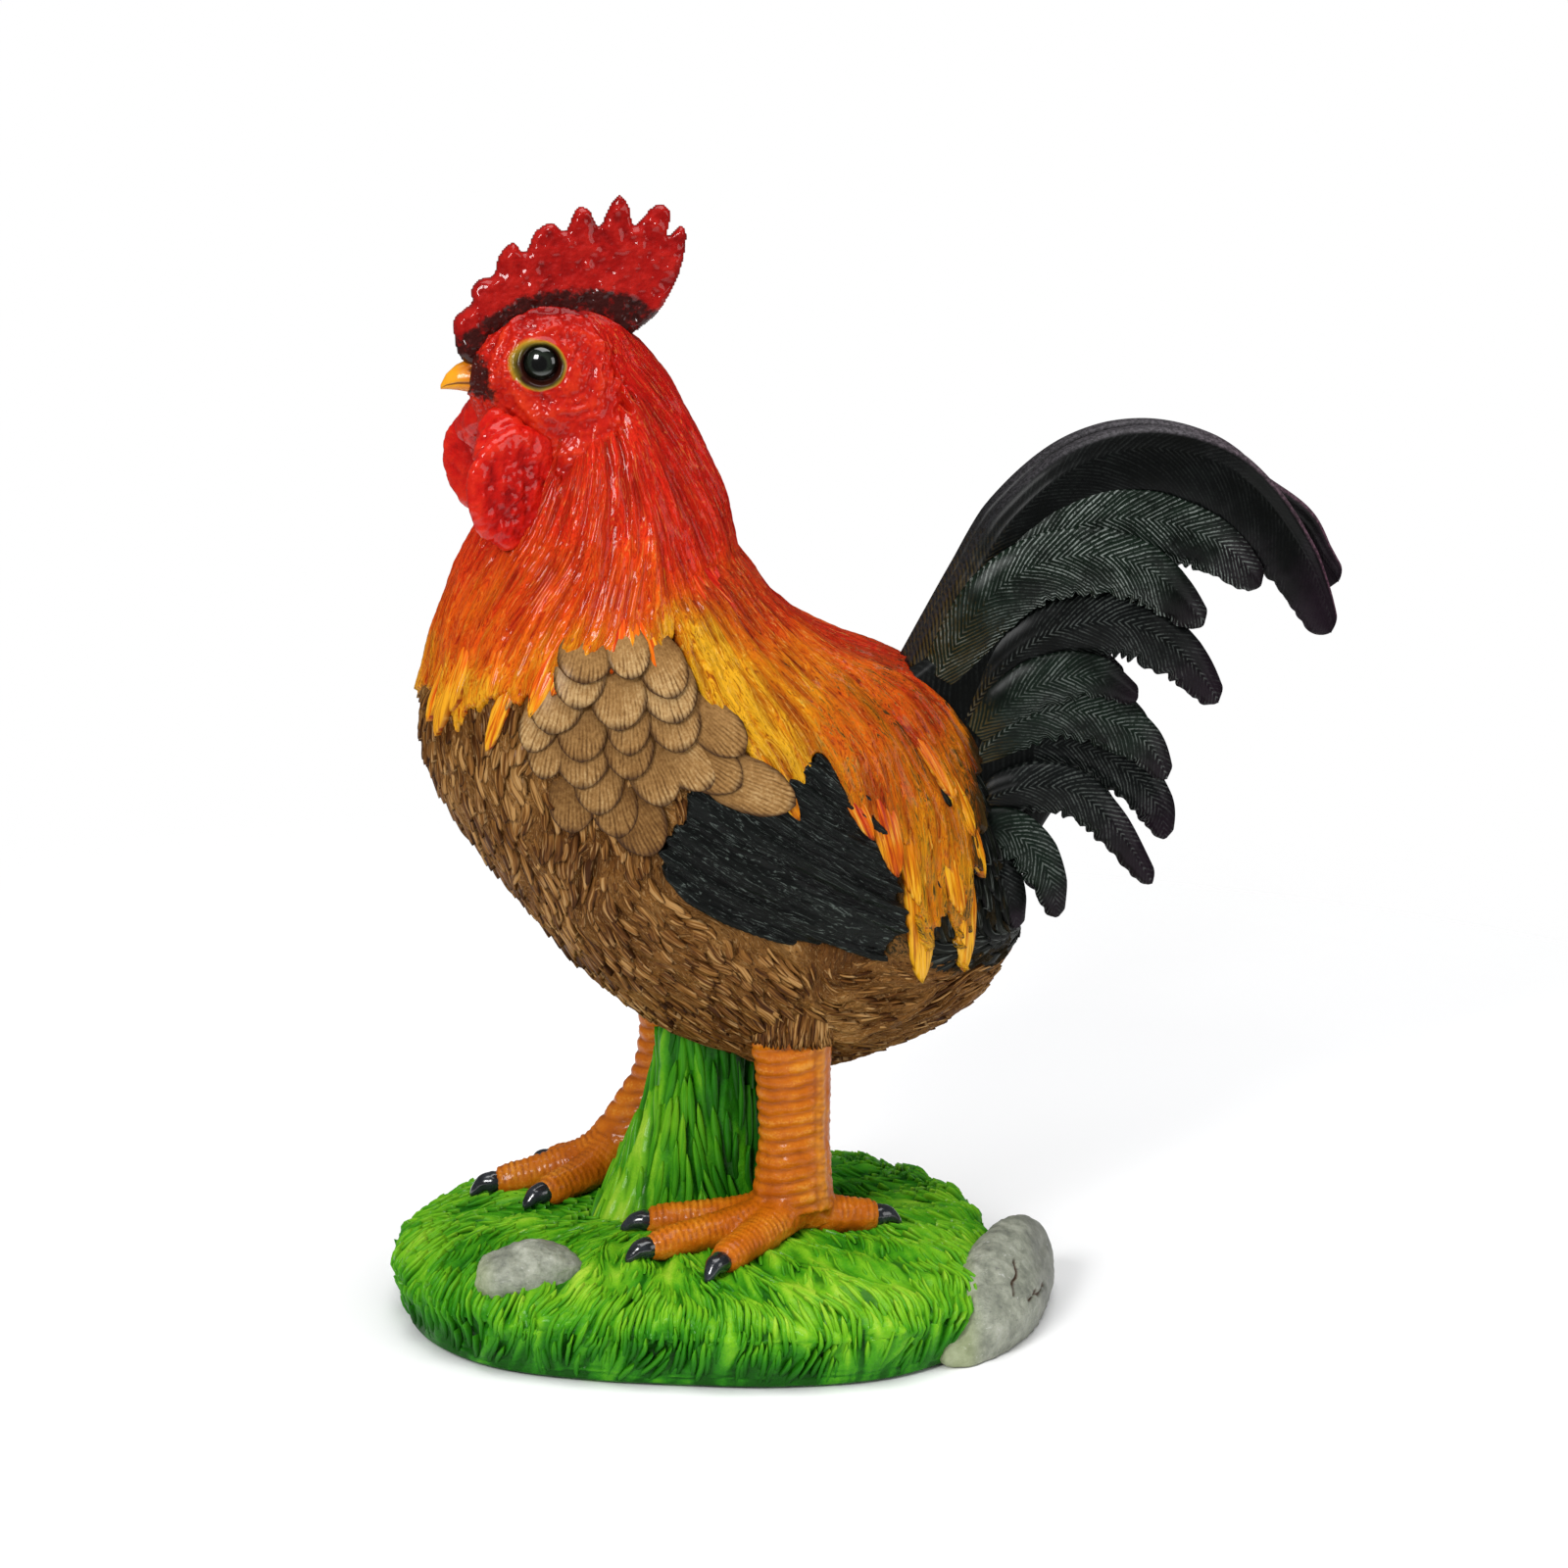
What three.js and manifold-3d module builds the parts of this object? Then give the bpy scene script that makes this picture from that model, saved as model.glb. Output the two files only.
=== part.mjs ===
// Rooster garden sculpture in painted cast resin, standing on a round tuft of grass.
// Millimetres, +Z up. The bird looks along -X, its left side faces -Y, and the origin is
// the middle of the base's flat underside.

import * as THREE from 'three';
import { mergeVertices } from 'three/addons/utils/BufferGeometryUtils.js';
import Module from 'manifold-3d';

const wasm = await Module();
wasm.setup();

// Clearances between castings that are glued to each other
const SEAM = 0.3;
const BLADE_SEAM = 0.45;

// Grass mound that the bird stands on
const MOUND_HALF_LENGTH = 103;
const MOUND_HALF_DEPTH = 95;
const MOUND_HEIGHT = 35;
const MOUND_RIM_HEIGHT = 17;
const MOUND_FOOT_SHARE = 0.965;
const MOUND_DOME_POWER = 3;
const MOUND_SIDES = 48;
const MOUND_ARCS = 6;

// How far the rim reaches, as a share of the oval, in equal steps round from +X towards +Y
const MOUND_REACH = [
  1, 1.05, 1.08, 1.06, 1.03, 1, 1, 1.02, 1.025, 1.025, 1.045, 1.04, 0.985, 0.975, 1.05, 1.14, 1.13, 1.04,
];

// Tufts: how far they stand out from hollow to crest
const TUFT_RISE = 2.4;
const TUFT_FADE = [0.25, 0.6];

// Rocks: centre x and y as shares of the mound's half length and half depth, height of the
// centre, then half length, half depth and half height, and the turn about the upright
const ROCK_LARGE = { share: [0.97, -0.39], height: 6, half: [18, 54, 24], turn: -0.45, seed: 1.3 };
const ROCK_SMALL = { share: [-0.63, -0.5], height: 28, half: [20, 15, 11], turn: 0.1, seed: 4.1 };

// Grass column under the belly: height, middle x, half length, half depth
const POST_SLICES = [
  [20, 0, 46, 30],
  [34, -1, 35, 24],
  [50, -1, 26.5, 19],
  [68, 1.5, 20.5, 15.5],
  [88, 3, 17, 13.5],
  [130, 4, 17, 14],
];

// Legs: shank from its top inside the belly to the ankle, then the foot
const LEG_SPREAD = 30;
const SHANK_FRONT_RADIUS = 12.5;
const SHANK_SIDE_RADIUS = 9.8;
const SHANK_FLARE = 2.4;
const THIGH_SWELL = 3.4;
const SHANK_BEND_POWER = 4;
const SHANK_TOP_HEIGHT = 134;
const ANKLE_HEIGHT = 16;
const SCUTE_PITCH = 7.6;
const SCUTE_STEP = 0.8;
const TOE_RADIUS = 6.4;
const TOE_SINK = 1.8;
const CLAW_LENGTH = 8.5;
const CLAW_RADIUS = 4;
const ROD_RADIUS = 3;
const ROD_BOTTOM_HEIGHT = 16;
const ROD_REACH = 8;
const ROD_TOP_HEIGHT = SHANK_TOP_HEIGHT + ROD_REACH;
const ROD_SHARES = [0.25, 0.95];
const LEFT_LEG = {
  side: -1,
  foot: [30, -LEG_SPREAD],
  lean: 1,
  arch: 0,
  toes: [[-23, -50], [0, -65], [-21, -26], [60, -26]],
};
const RIGHT_LEG = {
  side: 1,
  foot: [-20, LEG_SPREAD + 3],
  lean: 19,
  arch: 9,
  toes: [[-68, 34], [-46, 56], [-53, 12], [17, 37]],
};

// Neck and trunk casting, sliced from the head down to the rump:
// back point x and z, breast or belly point x and z, half width, and how square the belly is
// (1 is an ellipse, less is squarer)
const TRUNK_SLICES = [
  [-27, 350, -61, 309, 14, 1],
  [-22, 342, -65, 295, 17.5, 1],
  [-11, 327, -71, 281, 22.5, 1],
  [-2.5, 310, -77, 268, 28, 1],
  [5.5, 291, -83, 253, 34, 1],
  [11, 274, -88, 236, 40, 0.98],
  [18, 261, -93, 217, 45.5, 0.95],
  [29, 249.5, -90, 196, 50, 0.92],
  [42, 240, -77, 173, 53, 0.88],
  [55, 234, -58, 148, 54.5, 0.84],
  [67, 229.5, -37, 124, 54.5, 0.8],
  [77, 224.5, -14, 106.5, 52, 0.78],
  [87, 213, 9, 96, 48, 0.76],
  [96, 197, 32, 89.5, 42, 0.76],
  [103.5, 178, 54, 91, 34.5, 0.78],
  [108.5, 159, 76, 96.5, 25, 0.85],
  [111.5, 143, 95, 106, 14, 0.95],
  [112, 130, 106, 117, 3, 1],
];
const TRUNK_STEPS = 23;
const TRUNK_SIDES = 20;
const NECK_SEAM_SLICE = 1;

// Feather capes that lie on the trunk: thickness of each layer, and how far the locks of the
// two capes stand out from the hollows between them
const HACKLE_THICKNESS = 2.8;
const SADDLE_THICKNESS = 2.8;
const LOCK_RISE = 2;
const COVERT_THICKNESS = 3;
const COVERT_ROW_STEP = 1.1;
const COVERT_ROWS = 3;
const COVERT_ROW_PITCH = 15;
const QUILL_THICKNESS = 2.6;
const QUILL_STEP = 0.8;
const CAPE_REACH = 75;

// Lower line of the neck hackle, x and z, from the breast up to the back
const HACKLE_LINE = [[-108, 240], [-92, 236], [-74, 238], [-54, 243], [-30, 253], [-4, 260], [30, 272]];
const HACKLE_TIPS = 9;
const HACKLE_DROP = 12;

// Saddle cape over the back: the drooping feather tips behind the wing
const SADDLE_OUTLINE = [
  [40, 300], [-22, 262], [-12, 244], [0, 225], [12, 209], [25, 193], [35, 206], [50, 181],
  [53, 194], [60, 168], [66, 180], [73, 132], [79, 146], [88, 127], [90, 152], [97, 170],
  [94, 205], [84, 224], [80, 262],
];

// Wing coverts: lower line x and z from the breast to the rear corner, and scallops per row
const COVERT_LINE = [[-78, 214], [-62, 197], [-44, 189], [-20, 187], [2, 193], [25, 198]];
const COVERT_SCALLOPS = 7;
const COVERT_SCALLOP_DEPTH = 3.2;

// Black wing quills: rows of shoulder x, z and tip x, z, lowest feather first
const QUILLS = [
  [-22, 184, 61, 138],
  [-18, 190, 61, 151],
  [-12, 196, 58, 165],
  [-2, 201, 52, 180],
];
const QUILL_HALF_WIDTH = 11;

// Head casting, from the neck seam to the root of the beak, as in the trunk's slices
const HEAD_SLICES = [
  [-27, 352.5, -70, 302, 21],
  [-38, 357, -72, 311, 20],
  [-50, 358, -73.5, 318, 18],
  [-61, 355, -75, 323, 15],
  [-69.5, 350, -76, 326.5, 11.5],
  [-75.5, 343.5, -77, 328, 7.5],
];
const HEAD_STEPS = 10;
const HEAD_SIDES = 18;

// Beak: middle x and z, half height and half width
const BEAK_SLICES = [
  [-68, 334, 7.5, 6.5],
  [-76, 334.5, 6.2, 5.4],
  [-81, 334, 4.4, 3.9],
  [-84.5, 332.5, 2.6, 2.2],
  [-86.5, 330.5, 0.7, 0.7],
];

// Comb: outline x and z, from the nape over the teeth to the beak
const COMB_OUTLINE = [
  [-22, 346], [-8, 358], [-3, 371], [-1, 382], [-5, 385], [-8, 381], [-7, 390], [-13, 391],
  [-18, 385], [-22, 393], [-26, 395], [-30, 385], [-36, 392], [-41, 391], [-45, 382],
  [-51, 387], [-55, 385], [-58, 377], [-64, 380], [-67, 375], [-68, 368], [-74, 367],
  [-75, 361], [-80, 358], [-83, 350], [-81, 342], [-75, 338], [-64, 342], [-45, 347],
];
const COMB_BASE_THICKNESS = 11;
const COMB_TIP_THICKNESS = 4.5;
const COMB_BEVEL = 1.6;

// Wattles: lobe centre x, y, z, half sizes, and the yaw that lays them on the throat
const WATTLE_LOBE = { at: [-63, 24, 300], half: [20, 6.5, 21.5], yaw: -0.52 };
const WATTLE_ROOT = { at: [-70, 14, 320], half: [9, 5.5, 11], yaw: -0.4 };
const RIGHT_WATTLE_FORWARD = 2;

// Glossy eye cabochon set in a socket in the head
const EYE_AT = [-54, 341];
const EYE_RADIUS = 6;
const EYE_BULGE = 3;
const EYE_SEAT_DEPTH = 3;
const EYE_OUT = 15.4;

// Tail: a thick web from which the feathers fan out
const WEB_OUTLINE = [
  [62, 222], [80, 237], [93, 250], [112, 262], [134, 270], [156, 270], [164, 262], [150, 246],
  [148, 232], [140, 216], [136, 200], [132, 184], [122, 168], [114, 150], [106, 136], [84, 132],
];
const WEB_ROOT_THICKNESS = 30;
const WEB_REAR_THICKNESS = 9;
const WEB_ROOT_X = 80;
const WEB_REAR_X = 160;

// Tail feathers, outermost first. The spine is x and z along the middle of the blade, out gives
// the distance from the mid plane at the root, the middle and the tip
const FEATHERS = [
  {
    name: 'sickle_3',
    spine: [[84, 226], [99, 249], [115, 262], [134, 266], [151, 262], [164, 253], [174, 243]],
    out: [12, 17, 17], half: 11.5, thick: 6.5,
  },
  {
    name: 'tail_feather_5',
    spine: [[94, 178], [105, 183], [118, 186], [131, 183], [144, 171], [157, 152]],
    out: [11, 15, 19], half: 8.5, thick: 6.5,
  },
  {
    name: 'tail_feather_6',
    spine: [[94, 168], [104, 172], [114, 166], [121, 154], [124, 141]],
    out: [14, 18, 18], half: 8, thick: 6.5,
  },
  {
    name: 'tail_feather_2',
    spine: [[96, 206], [108, 217], [121, 224], [137, 225], [152, 217]],
    out: [12, 16, 15], half: 9, thick: 6,
  },
  {
    name: 'tail_feather_1',
    spine: [[90, 204], [104, 225], [122, 239], [143, 243], [159, 237], [171, 227], [180, 215]],
    out: [9, 13, 15], half: 11, thick: 7,
  },
  {
    name: 'tail_feather_3',
    spine: [[92, 191], [108, 206], [126, 212], [143, 208], [155, 200], [162, 189]],
    out: [9, 13, 17], half: 9.5, thick: 7,
  },
  {
    name: 'tail_feather_7',
    spine: [[92, 158], [101, 158], [107, 149], [111, 136]],
    out: [12, 15, 13], half: 7.5, thick: 6,
  },
  {
    name: 'sickle_2',
    spine: [[90, 229], [107, 257], [125, 272], [146, 277], [166, 274], [182, 267], [195, 255]],
    out: [8, 12, 12], half: 12.5, thick: 6.5,
  },
  {
    name: 'tail_feather_4',
    spine: [[98, 186], [116, 198], [134, 198], [150, 189], [160, 177], [163, 166]],
    out: [6, 9, 12], half: 9, thick: 6.5,
  },
];
const GREAT_SICKLE_ROOT = [[80, 226], [99, 256], [114, 277], [134, 293], [156, 298], [177, 293], [193, 281]];
const LEFT_SICKLE_TIP = [[206, 264], [214, 250], [220, 237]];
const RIGHT_SICKLE_TIP = [[209, 271], [218, 260], [226, 251]];
const GREAT_SICKLE = { out: [6, 6.8, 8], half: 12.5, thick: 11 };
const BLADE_SIDES = 6;
const BLADE_CAMBER = 0.22;

// Curves through hand-chosen points

function flatCurve(points) {
  return new THREE.CatmullRomCurve3(points.map(([x, z]) => new THREE.Vector3(x, 0, z)));
}

function interpolate(values, t) {
  const place = t * (values.length - 1);
  const low = Math.min(Math.floor(place), values.length - 2);
  return THREE.MathUtils.lerp(values[low], values[low + 1], place - low);
}

// Closed surfaces from rings of points, and their solids

function signedVolume(geometry) {
  const place = geometry.getAttribute('position');
  const corners = [0, 1, 2].map(() => new THREE.Vector3());
  let sum = 0;
  for (let i = 0; i < geometry.index.count; i += 3) {
    corners.forEach((corner, k) => corner.fromBufferAttribute(place, geometry.index.getX(i + k)));
    sum += corners[0].dot(corners[1].cross(corners[2]));
  }
  return sum / 6;
}

function surface(points, faces) {
  const geometry = new THREE.BufferGeometry();
  const numbers = points.flatMap((point) => point.toArray());
  geometry.setAttribute('position', new THREE.Float32BufferAttribute(numbers, 3));
  geometry.setIndex(faces);
  if (signedVolume(geometry) < 0) {
    const turned = [];
    for (let i = 0; i < faces.length; i += 3) turned.push(faces[i], faces[i + 2], faces[i + 1]);
    geometry.setIndex(turned);
  }
  return geometry;
}

function skin(rings) {
  const count = rings[0].length;
  const points = rings.flat();
  const faces = [];
  for (let i = 0; i + 1 < rings.length; i += 1) {
    for (let j = 0; j < count; j += 1) {
      const a = i * count + j;
      const b = i * count + ((j + 1) % count);
      faces.push(a, b, b + count, a, b + count, a + count);
    }
  }
  [0, rings.length - 1].forEach((end, far) => {
    const middle = new THREE.Vector3();
    rings[end].forEach((point) => middle.addScaledVector(point, 1 / count));
    const hub = points.push(middle) - 1;
    for (let j = 0; j < count; j += 1) {
      const a = end * count + j;
      const b = end * count + ((j + 1) % count);
      if (far) faces.push(a, b, hub);
      else faces.push(b, a, hub);
    }
  });
  return surface(points, faces);
}

function solid(geometry) {
  const bare = new THREE.BufferGeometry();
  bare.setAttribute('position', geometry.getAttribute('position'));
  bare.setIndex(geometry.index);
  const merged = mergeVertices(bare, 1e-4);
  const index = merged.index.array;
  const kept = [];
  for (let i = 0; i < index.length; i += 3) {
    const [a, b, c] = [index[i], index[i + 1], index[i + 2]];
    if (a !== b && b !== c && c !== a) kept.push(a, b, c);
  }
  return new wasm.Manifold(new wasm.Mesh({
    numProp: 3,
    vertProperties: new Float32Array(merged.getAttribute('position').array),
    triVerts: new Uint32Array(kept),
  }));
}

function geometryOf(body) {
  const mesh = body.getMesh();
  const geometry = new THREE.BufferGeometry();
  geometry.setAttribute('position', new THREE.Float32BufferAttribute(mesh.vertProperties, 3));
  geometry.setIndex(Array.from(mesh.triVerts));
  return geometry;
}

function mirrored(body) {
  const geometry = geometryOf(body).scale(1, -1, 1);
  const index = geometry.index.array;
  const turned = [];
  for (let i = 0; i < index.length; i += 3) turned.push(index[i], index[i + 2], index[i + 1]);
  geometry.setIndex(turned);
  return solid(geometry);
}

function joined(bodies) {
  return bodies.reduce((sum, body) => sum.add(body));
}

// The clearance cuts can free a crumb at a feather's root: the casting is the largest piece
function largest(body) {
  const pieces = body.decompose().sort((one, other) => other.volume() - one.volume());
  return pieces[0] ?? body;
}

// Move every point of a smooth surface along its normal; rise adds to that, point by point
function grown(geometry, distance, rise = () => 0) {
  const copy = geometry.clone();
  copy.computeVertexNormals();
  const place = copy.getAttribute('position');
  const normal = copy.getAttribute('normal');
  for (let i = 0; i < place.count; i += 1) {
    const reach = distance + rise(i);
    place.setXYZ(
      i,
      place.getX(i) + normal.getX(i) * reach,
      place.getY(i) + normal.getY(i) * reach,
      place.getZ(i) + normal.getZ(i) * reach,
    );
  }
  return copy;
}

// A side-view outline pushed outwards by a distance
function outset(outline, distance) {
  const area = THREE.ShapeUtils.area(outline.map(([x, z]) => new THREE.Vector2(x, z)));
  const sign = Math.sign(area) * distance;
  return outline.map(([x, z], i) => {
    const before = outline.at(i - 1);
    const after = outline[(i + 1) % outline.length];
    const first = new THREE.Vector2(z - before[1], before[0] - x).normalize();
    const second = new THREE.Vector2(after[1] - z, x - after[0]).normalize();
    const corner = first.clone().add(second).normalize();
    const reach = sign / Math.max(corner.dot(first), 0.45);
    return [x + corner.x * reach, z + corner.y * reach];
  });
}

// Solid between two planes of constant y over a side-view outline
function prism(outline, lowY, highY) {
  const shape = new THREE.Shape(outline.map(([x, z]) => new THREE.Vector2(x, z)));
  const geometry = new THREE.ExtrudeGeometry(shape, { depth: highY - lowY, bevelEnabled: false });
  geometry.rotateX(Math.PI / 2).translate(0, highY, 0);
  return solid(mergeVertices(new THREE.BufferGeometry().copy(geometry).deleteAttribute('normal')
    .deleteAttribute('uv'), 1e-4));
}

// Round or oval rod along a curve; each slice has a radius across and a radius along the side axis
function rodAlong(curve, steps, sides, radii, sideAxis) {
  const rings = [];
  for (let i = 0; i <= steps; i += 1) {
    const t = i / steps;
    const middle = curve.getPoint(t);
    const tangent = curve.getTangent(t);
    const across = new THREE.Vector3().crossVectors(tangent, sideAxis).normalize();
    const side = new THREE.Vector3().crossVectors(across, tangent).normalize();
    const [a, b] = radii(t);
    rings.push(Array.from({ length: sides }, (_, j) => {
      const angle = (j / sides) * Math.PI * 2;
      const point = middle.clone().addScaledVector(across, a * Math.cos(angle));
      return point.addScaledVector(side, b * Math.sin(angle));
    }));
  }
  return skin(rings);
}

function straightRod(from, to, radius, sides) {
  const line = new THREE.LineCurve3(from, to);
  return solid(rodAlong(line, 1, sides, () => [radius, radius], new THREE.Vector3(0, 1, 0)));
}

// Grass mound: a dome of swirled tufts on an uneven oval, tucked in at the foot

const rimCurve = new THREE.CatmullRomCurve3(MOUND_REACH.map((reach) => new THREE.Vector3(reach, 0, 0)), true);

function moundReach(angle) {
  const turns = angle / (Math.PI * 2);
  return rimCurve.getPoint(turns - Math.floor(turns)).x;
}

function moundTop(share) {
  const dome = Math.sqrt(Math.max(0, 1 - share ** MOUND_DOME_POWER));
  return MOUND_RIM_HEIGHT + (MOUND_HEIGHT - MOUND_RIM_HEIGHT) * dome;
}

function groundAt(x, y) {
  const angle = Math.atan2(y / MOUND_HALF_DEPTH, x / MOUND_HALF_LENGTH);
  const share = Math.hypot(x / MOUND_HALF_LENGTH, y / MOUND_HALF_DEPTH) / moundReach(angle);
  return moundTop(Math.min(share, 1));
}

function moundGeometry() {
  const levels = [[MOUND_FOOT_SHARE, 0], [1, MOUND_RIM_HEIGHT / 2]];
  for (let i = 0; i < MOUND_ARCS; i += 1) {
    const share = Math.cos((i / MOUND_ARCS) * Math.PI / 2);
    levels.push([share, moundTop(share)]);
  }
  return skin(levels.map(([share, height], level) => Array.from({ length: MOUND_SIDES }, (_, j) => {
    const angle = (j / MOUND_SIDES) * Math.PI * 2;
    const reach = share * moundReach(angle);
    const crest = level === 0 ? 0 : Math.cos(Math.PI * (j + level));
    const rise = (TUFT_RISE / 2) * crest * THREE.MathUtils.smoothstep(share, ...TUFT_FADE);
    return new THREE.Vector3(
      (MOUND_HALF_LENGTH * reach + rise * share) * Math.cos(angle),
      (MOUND_HALF_DEPTH * reach + rise * share) * Math.sin(angle),
      height + rise * Math.sqrt(1 - share ** 2),
    );
  })));
}

// Boulder: a lumpy ball with a flat bed where it reaches the ground
function rockGeometry({ share, height, half, turn, seed }, growth = 0) {
  const icosphere = new THREE.IcosahedronGeometry(1, 2);
  const ball = mergeVertices(icosphere.deleteAttribute('normal').deleteAttribute('uv'));
  const place = ball.getAttribute('position');
  for (let i = 0; i < place.count; i += 1) {
    const [x, y, z] = [place.getX(i), place.getY(i), place.getZ(i)];
    const lump = 1 + 0.07 * Math.sin(3.1 * x + seed) * Math.cos(2.7 * y - seed)
      + 0.05 * Math.sin(5.3 * z + 4.1 * x + 2 * seed);
    const [reachX, reachY, reachZ] = half.map((length) => length * lump + growth);
    place.setXYZ(i, x * reachX, y * reachY, z * reachZ);
  }
  ball.rotateZ(turn).translate(share[0] * MOUND_HALF_LENGTH, share[1] * MOUND_HALF_DEPTH, height);
  for (let i = 0; i < place.count; i += 1) place.setZ(i, Math.max(0, place.getZ(i)));
  return ball;
}

function postGeometry() {
  const sides = 18;
  return skin(POST_SLICES.map(([height, middle, halfLength, halfDepth], i) => (
    Array.from({ length: sides }, (_, j) => {
      const angle = (j / sides) * Math.PI * 2;
      const tuft = 1 + 0.05 * Math.sin(5 * angle + i * 1.7);
      return new THREE.Vector3(
        middle + halfLength * tuft * Math.cos(angle),
        halfDepth * tuft * Math.sin(angle),
        height,
      );
    })
  )));
}

// Legs

// The shank leaves the ankle along a curve that leans back and is nearly upright at the belly
function shankLine({ foot: [x, y], lean }) {
  const ankle = new THREE.Vector3(x, y, groundAt(x, y) + ANKLE_HEIGHT);
  const at = (t) => new THREE.Vector3(
    x + lean * (1 - (1 - t) ** SHANK_BEND_POWER),
    y,
    THREE.MathUtils.lerp(ankle.z, SHANK_TOP_HEIGHT, t),
  );
  return { ankle, at };
}

function shank(leg, growth) {
  const { ankle, at } = shankLine(leg);
  const rows = Math.round((SHANK_TOP_HEIGHT - ankle.z) / SCUTE_PITCH);
  const sides = 9;
  const rings = [];
  for (let row = 0; row <= rows; row += 1) {
    [0, 1].forEach((lip) => {
      const t = Math.min(1, (row + lip * 0.86) / rows);
      const flare = SHANK_FLARE * ((1 - t) ** 6 + t ** 3);
      const swell = THIGH_SWELL * t ** 2;
      const middle = at(t).setX(at(t).x - swell);
      const step = lip * SCUTE_STEP;
      rings.push(Array.from({ length: sides }, (_, j) => {
        const angle = (j / sides) * Math.PI * 2;
        const front = SHANK_FRONT_RADIUS + flare + swell - step + growth;
        const side = SHANK_SIDE_RADIUS + flare - step + growth;
        return middle.clone().add(new THREE.Vector3(front * Math.cos(angle), side * Math.sin(angle), 0));
      }));
    });
  }
  return solid(skin(rings.slice(0, -1)));
}

function heel(leg, growth) {
  const { ankle } = shankLine(leg);
  const ball = new THREE.SphereGeometry(1, 10, 6).rotateX(Math.PI / 2);
  const reach = SHANK_FRONT_RADIUS + SHANK_FLARE;
  ball.scale(reach + growth, SHANK_SIDE_RADIUS + SHANK_FLARE + 1 + growth, reach * 0.85 + growth);
  return solid(ball.translate(ankle.x, ankle.y, ankle.z - reach * 0.35));
}

// A toe arches from the heel over its knuckles and ends in a curved claw
function toe(leg, end, growth) {
  const [x, y] = leg.foot;
  const start = new THREE.Vector3(x, y, groundAt(x, y) + TOE_RADIUS * 1.35 + leg.arch);
  const spots = [0.4, 0.75, 1].map((share) => {
    const px = THREE.MathUtils.lerp(x, end[0], share);
    const py = THREE.MathUtils.lerp(y, end[1], share);
    const rise = THREE.MathUtils.lerp(1.12, 0.8, share);
    const arch = leg.arch * (1 - share) ** 2;
    return new THREE.Vector3(px, py, groundAt(px, py) + TOE_RADIUS * rise - TOE_SINK + arch);
  });
  const last = spots.at(-1);
  const away = last.clone().sub(start).setZ(0).normalize();
  const up = new THREE.Vector3(0, 0, 1);
  const fleshy = new THREE.CatmullRomCurve3([start, ...spots]);
  const flesh = rodAlong(fleshy, 6, 6, (t) => {
    const knuckle = 1 + 0.07 * Math.cos(t * Math.PI * 6);
    const radius = TOE_RADIUS * (1.12 - 0.32 * t) * knuckle * (t === 1 ? 0.7 : 1) + growth;
    return [radius, radius];
  }, up);
  const tipAt = (along, rise) => {
    const spot = last.clone().addScaledVector(away, along);
    spot.z = groundAt(spot.x, spot.y) + rise;
    return spot;
  };
  const horny = new THREE.CatmullRomCurve3([
    last.clone().addScaledVector(away, -3),
    tipAt(CLAW_LENGTH * 0.4, TOE_RADIUS * 0.75 - TOE_SINK * 0.5),
    tipAt(CLAW_LENGTH, 0.4),
  ]);
  const claw = rodAlong(horny, 3, 5, (t) => {
    const radius = CLAW_RADIUS * Math.sqrt(1.05 - t) + growth;
    return [radius, radius];
  }, up);
  return solid(flesh).add(solid(claw));
}

function legCasting(leg, growth = 0) {
  return joined([shank(leg, growth), heel(leg, growth), ...leg.toes.map((end) => toe(leg, end, growth))]);
}

// Steel rod that pins the leg to the mound below and to the trunk above, in the chord of its bend
function legRod({ foot: [x, y], lean }, growth = 0) {
  const spot = (height) => new THREE.Vector3(
    x + lean * THREE.MathUtils.mapLinear(height, ROD_BOTTOM_HEIGHT, ROD_TOP_HEIGHT, ...ROD_SHARES),
    y,
    height,
  );
  const ends = [spot(ROD_BOTTOM_HEIGHT - growth), spot(ROD_TOP_HEIGHT + growth)];
  return straightRod(...ends, ROD_RADIUS + growth, 8);
}

// Neck and trunk

function slice(values, t) {
  return values[0].map((_, k) => {
    const curve = new THREE.CatmullRomCurve3(values.map((row) => new THREE.Vector3(row[k], 0, 0)));
    return curve.getPoint(t).x;
  });
}

function ringOf([backX, backZ, frontX, frontZ, halfWidth, square = 1], sides, growth = 0) {
  const back = new THREE.Vector3(backX, 0, backZ);
  const front = new THREE.Vector3(frontX, 0, frontZ);
  const half = back.clone().sub(front).multiplyScalar(0.5);
  const middle = back.clone().add(front).multiplyScalar(0.5);
  half.setLength(half.length() + growth);
  return Array.from({ length: sides }, (_, j) => {
    const angle = (j / sides) * Math.PI * 2;
    const power = Math.cos(angle) < 0 ? square : 1;
    const [c, s] = [Math.cos(angle), Math.sin(angle)].map((v) => Math.sign(v) * Math.abs(v) ** power);
    const point = middle.clone().addScaledVector(half, c);
    point.y += (halfWidth + growth) * s;
    return point;
  });
}

function loft(slices, steps, sides) {
  const rings = [];
  for (let i = 0; i <= steps; i += 1) rings.push(ringOf(slice(slices, i / steps), sides));
  return skin(rings);
}

const trunkSurface = loft(TRUNK_SLICES, TRUNK_STEPS, TRUNK_SIDES);

// The trunk's solid grown on all sides; every other column of points rises into a lock
function trunk(growth, lockRise = 0) {
  return solid(grown(trunkSurface, growth, (i) => lockRise * ((i % TRUNK_SIDES) % 2)));
}

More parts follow.
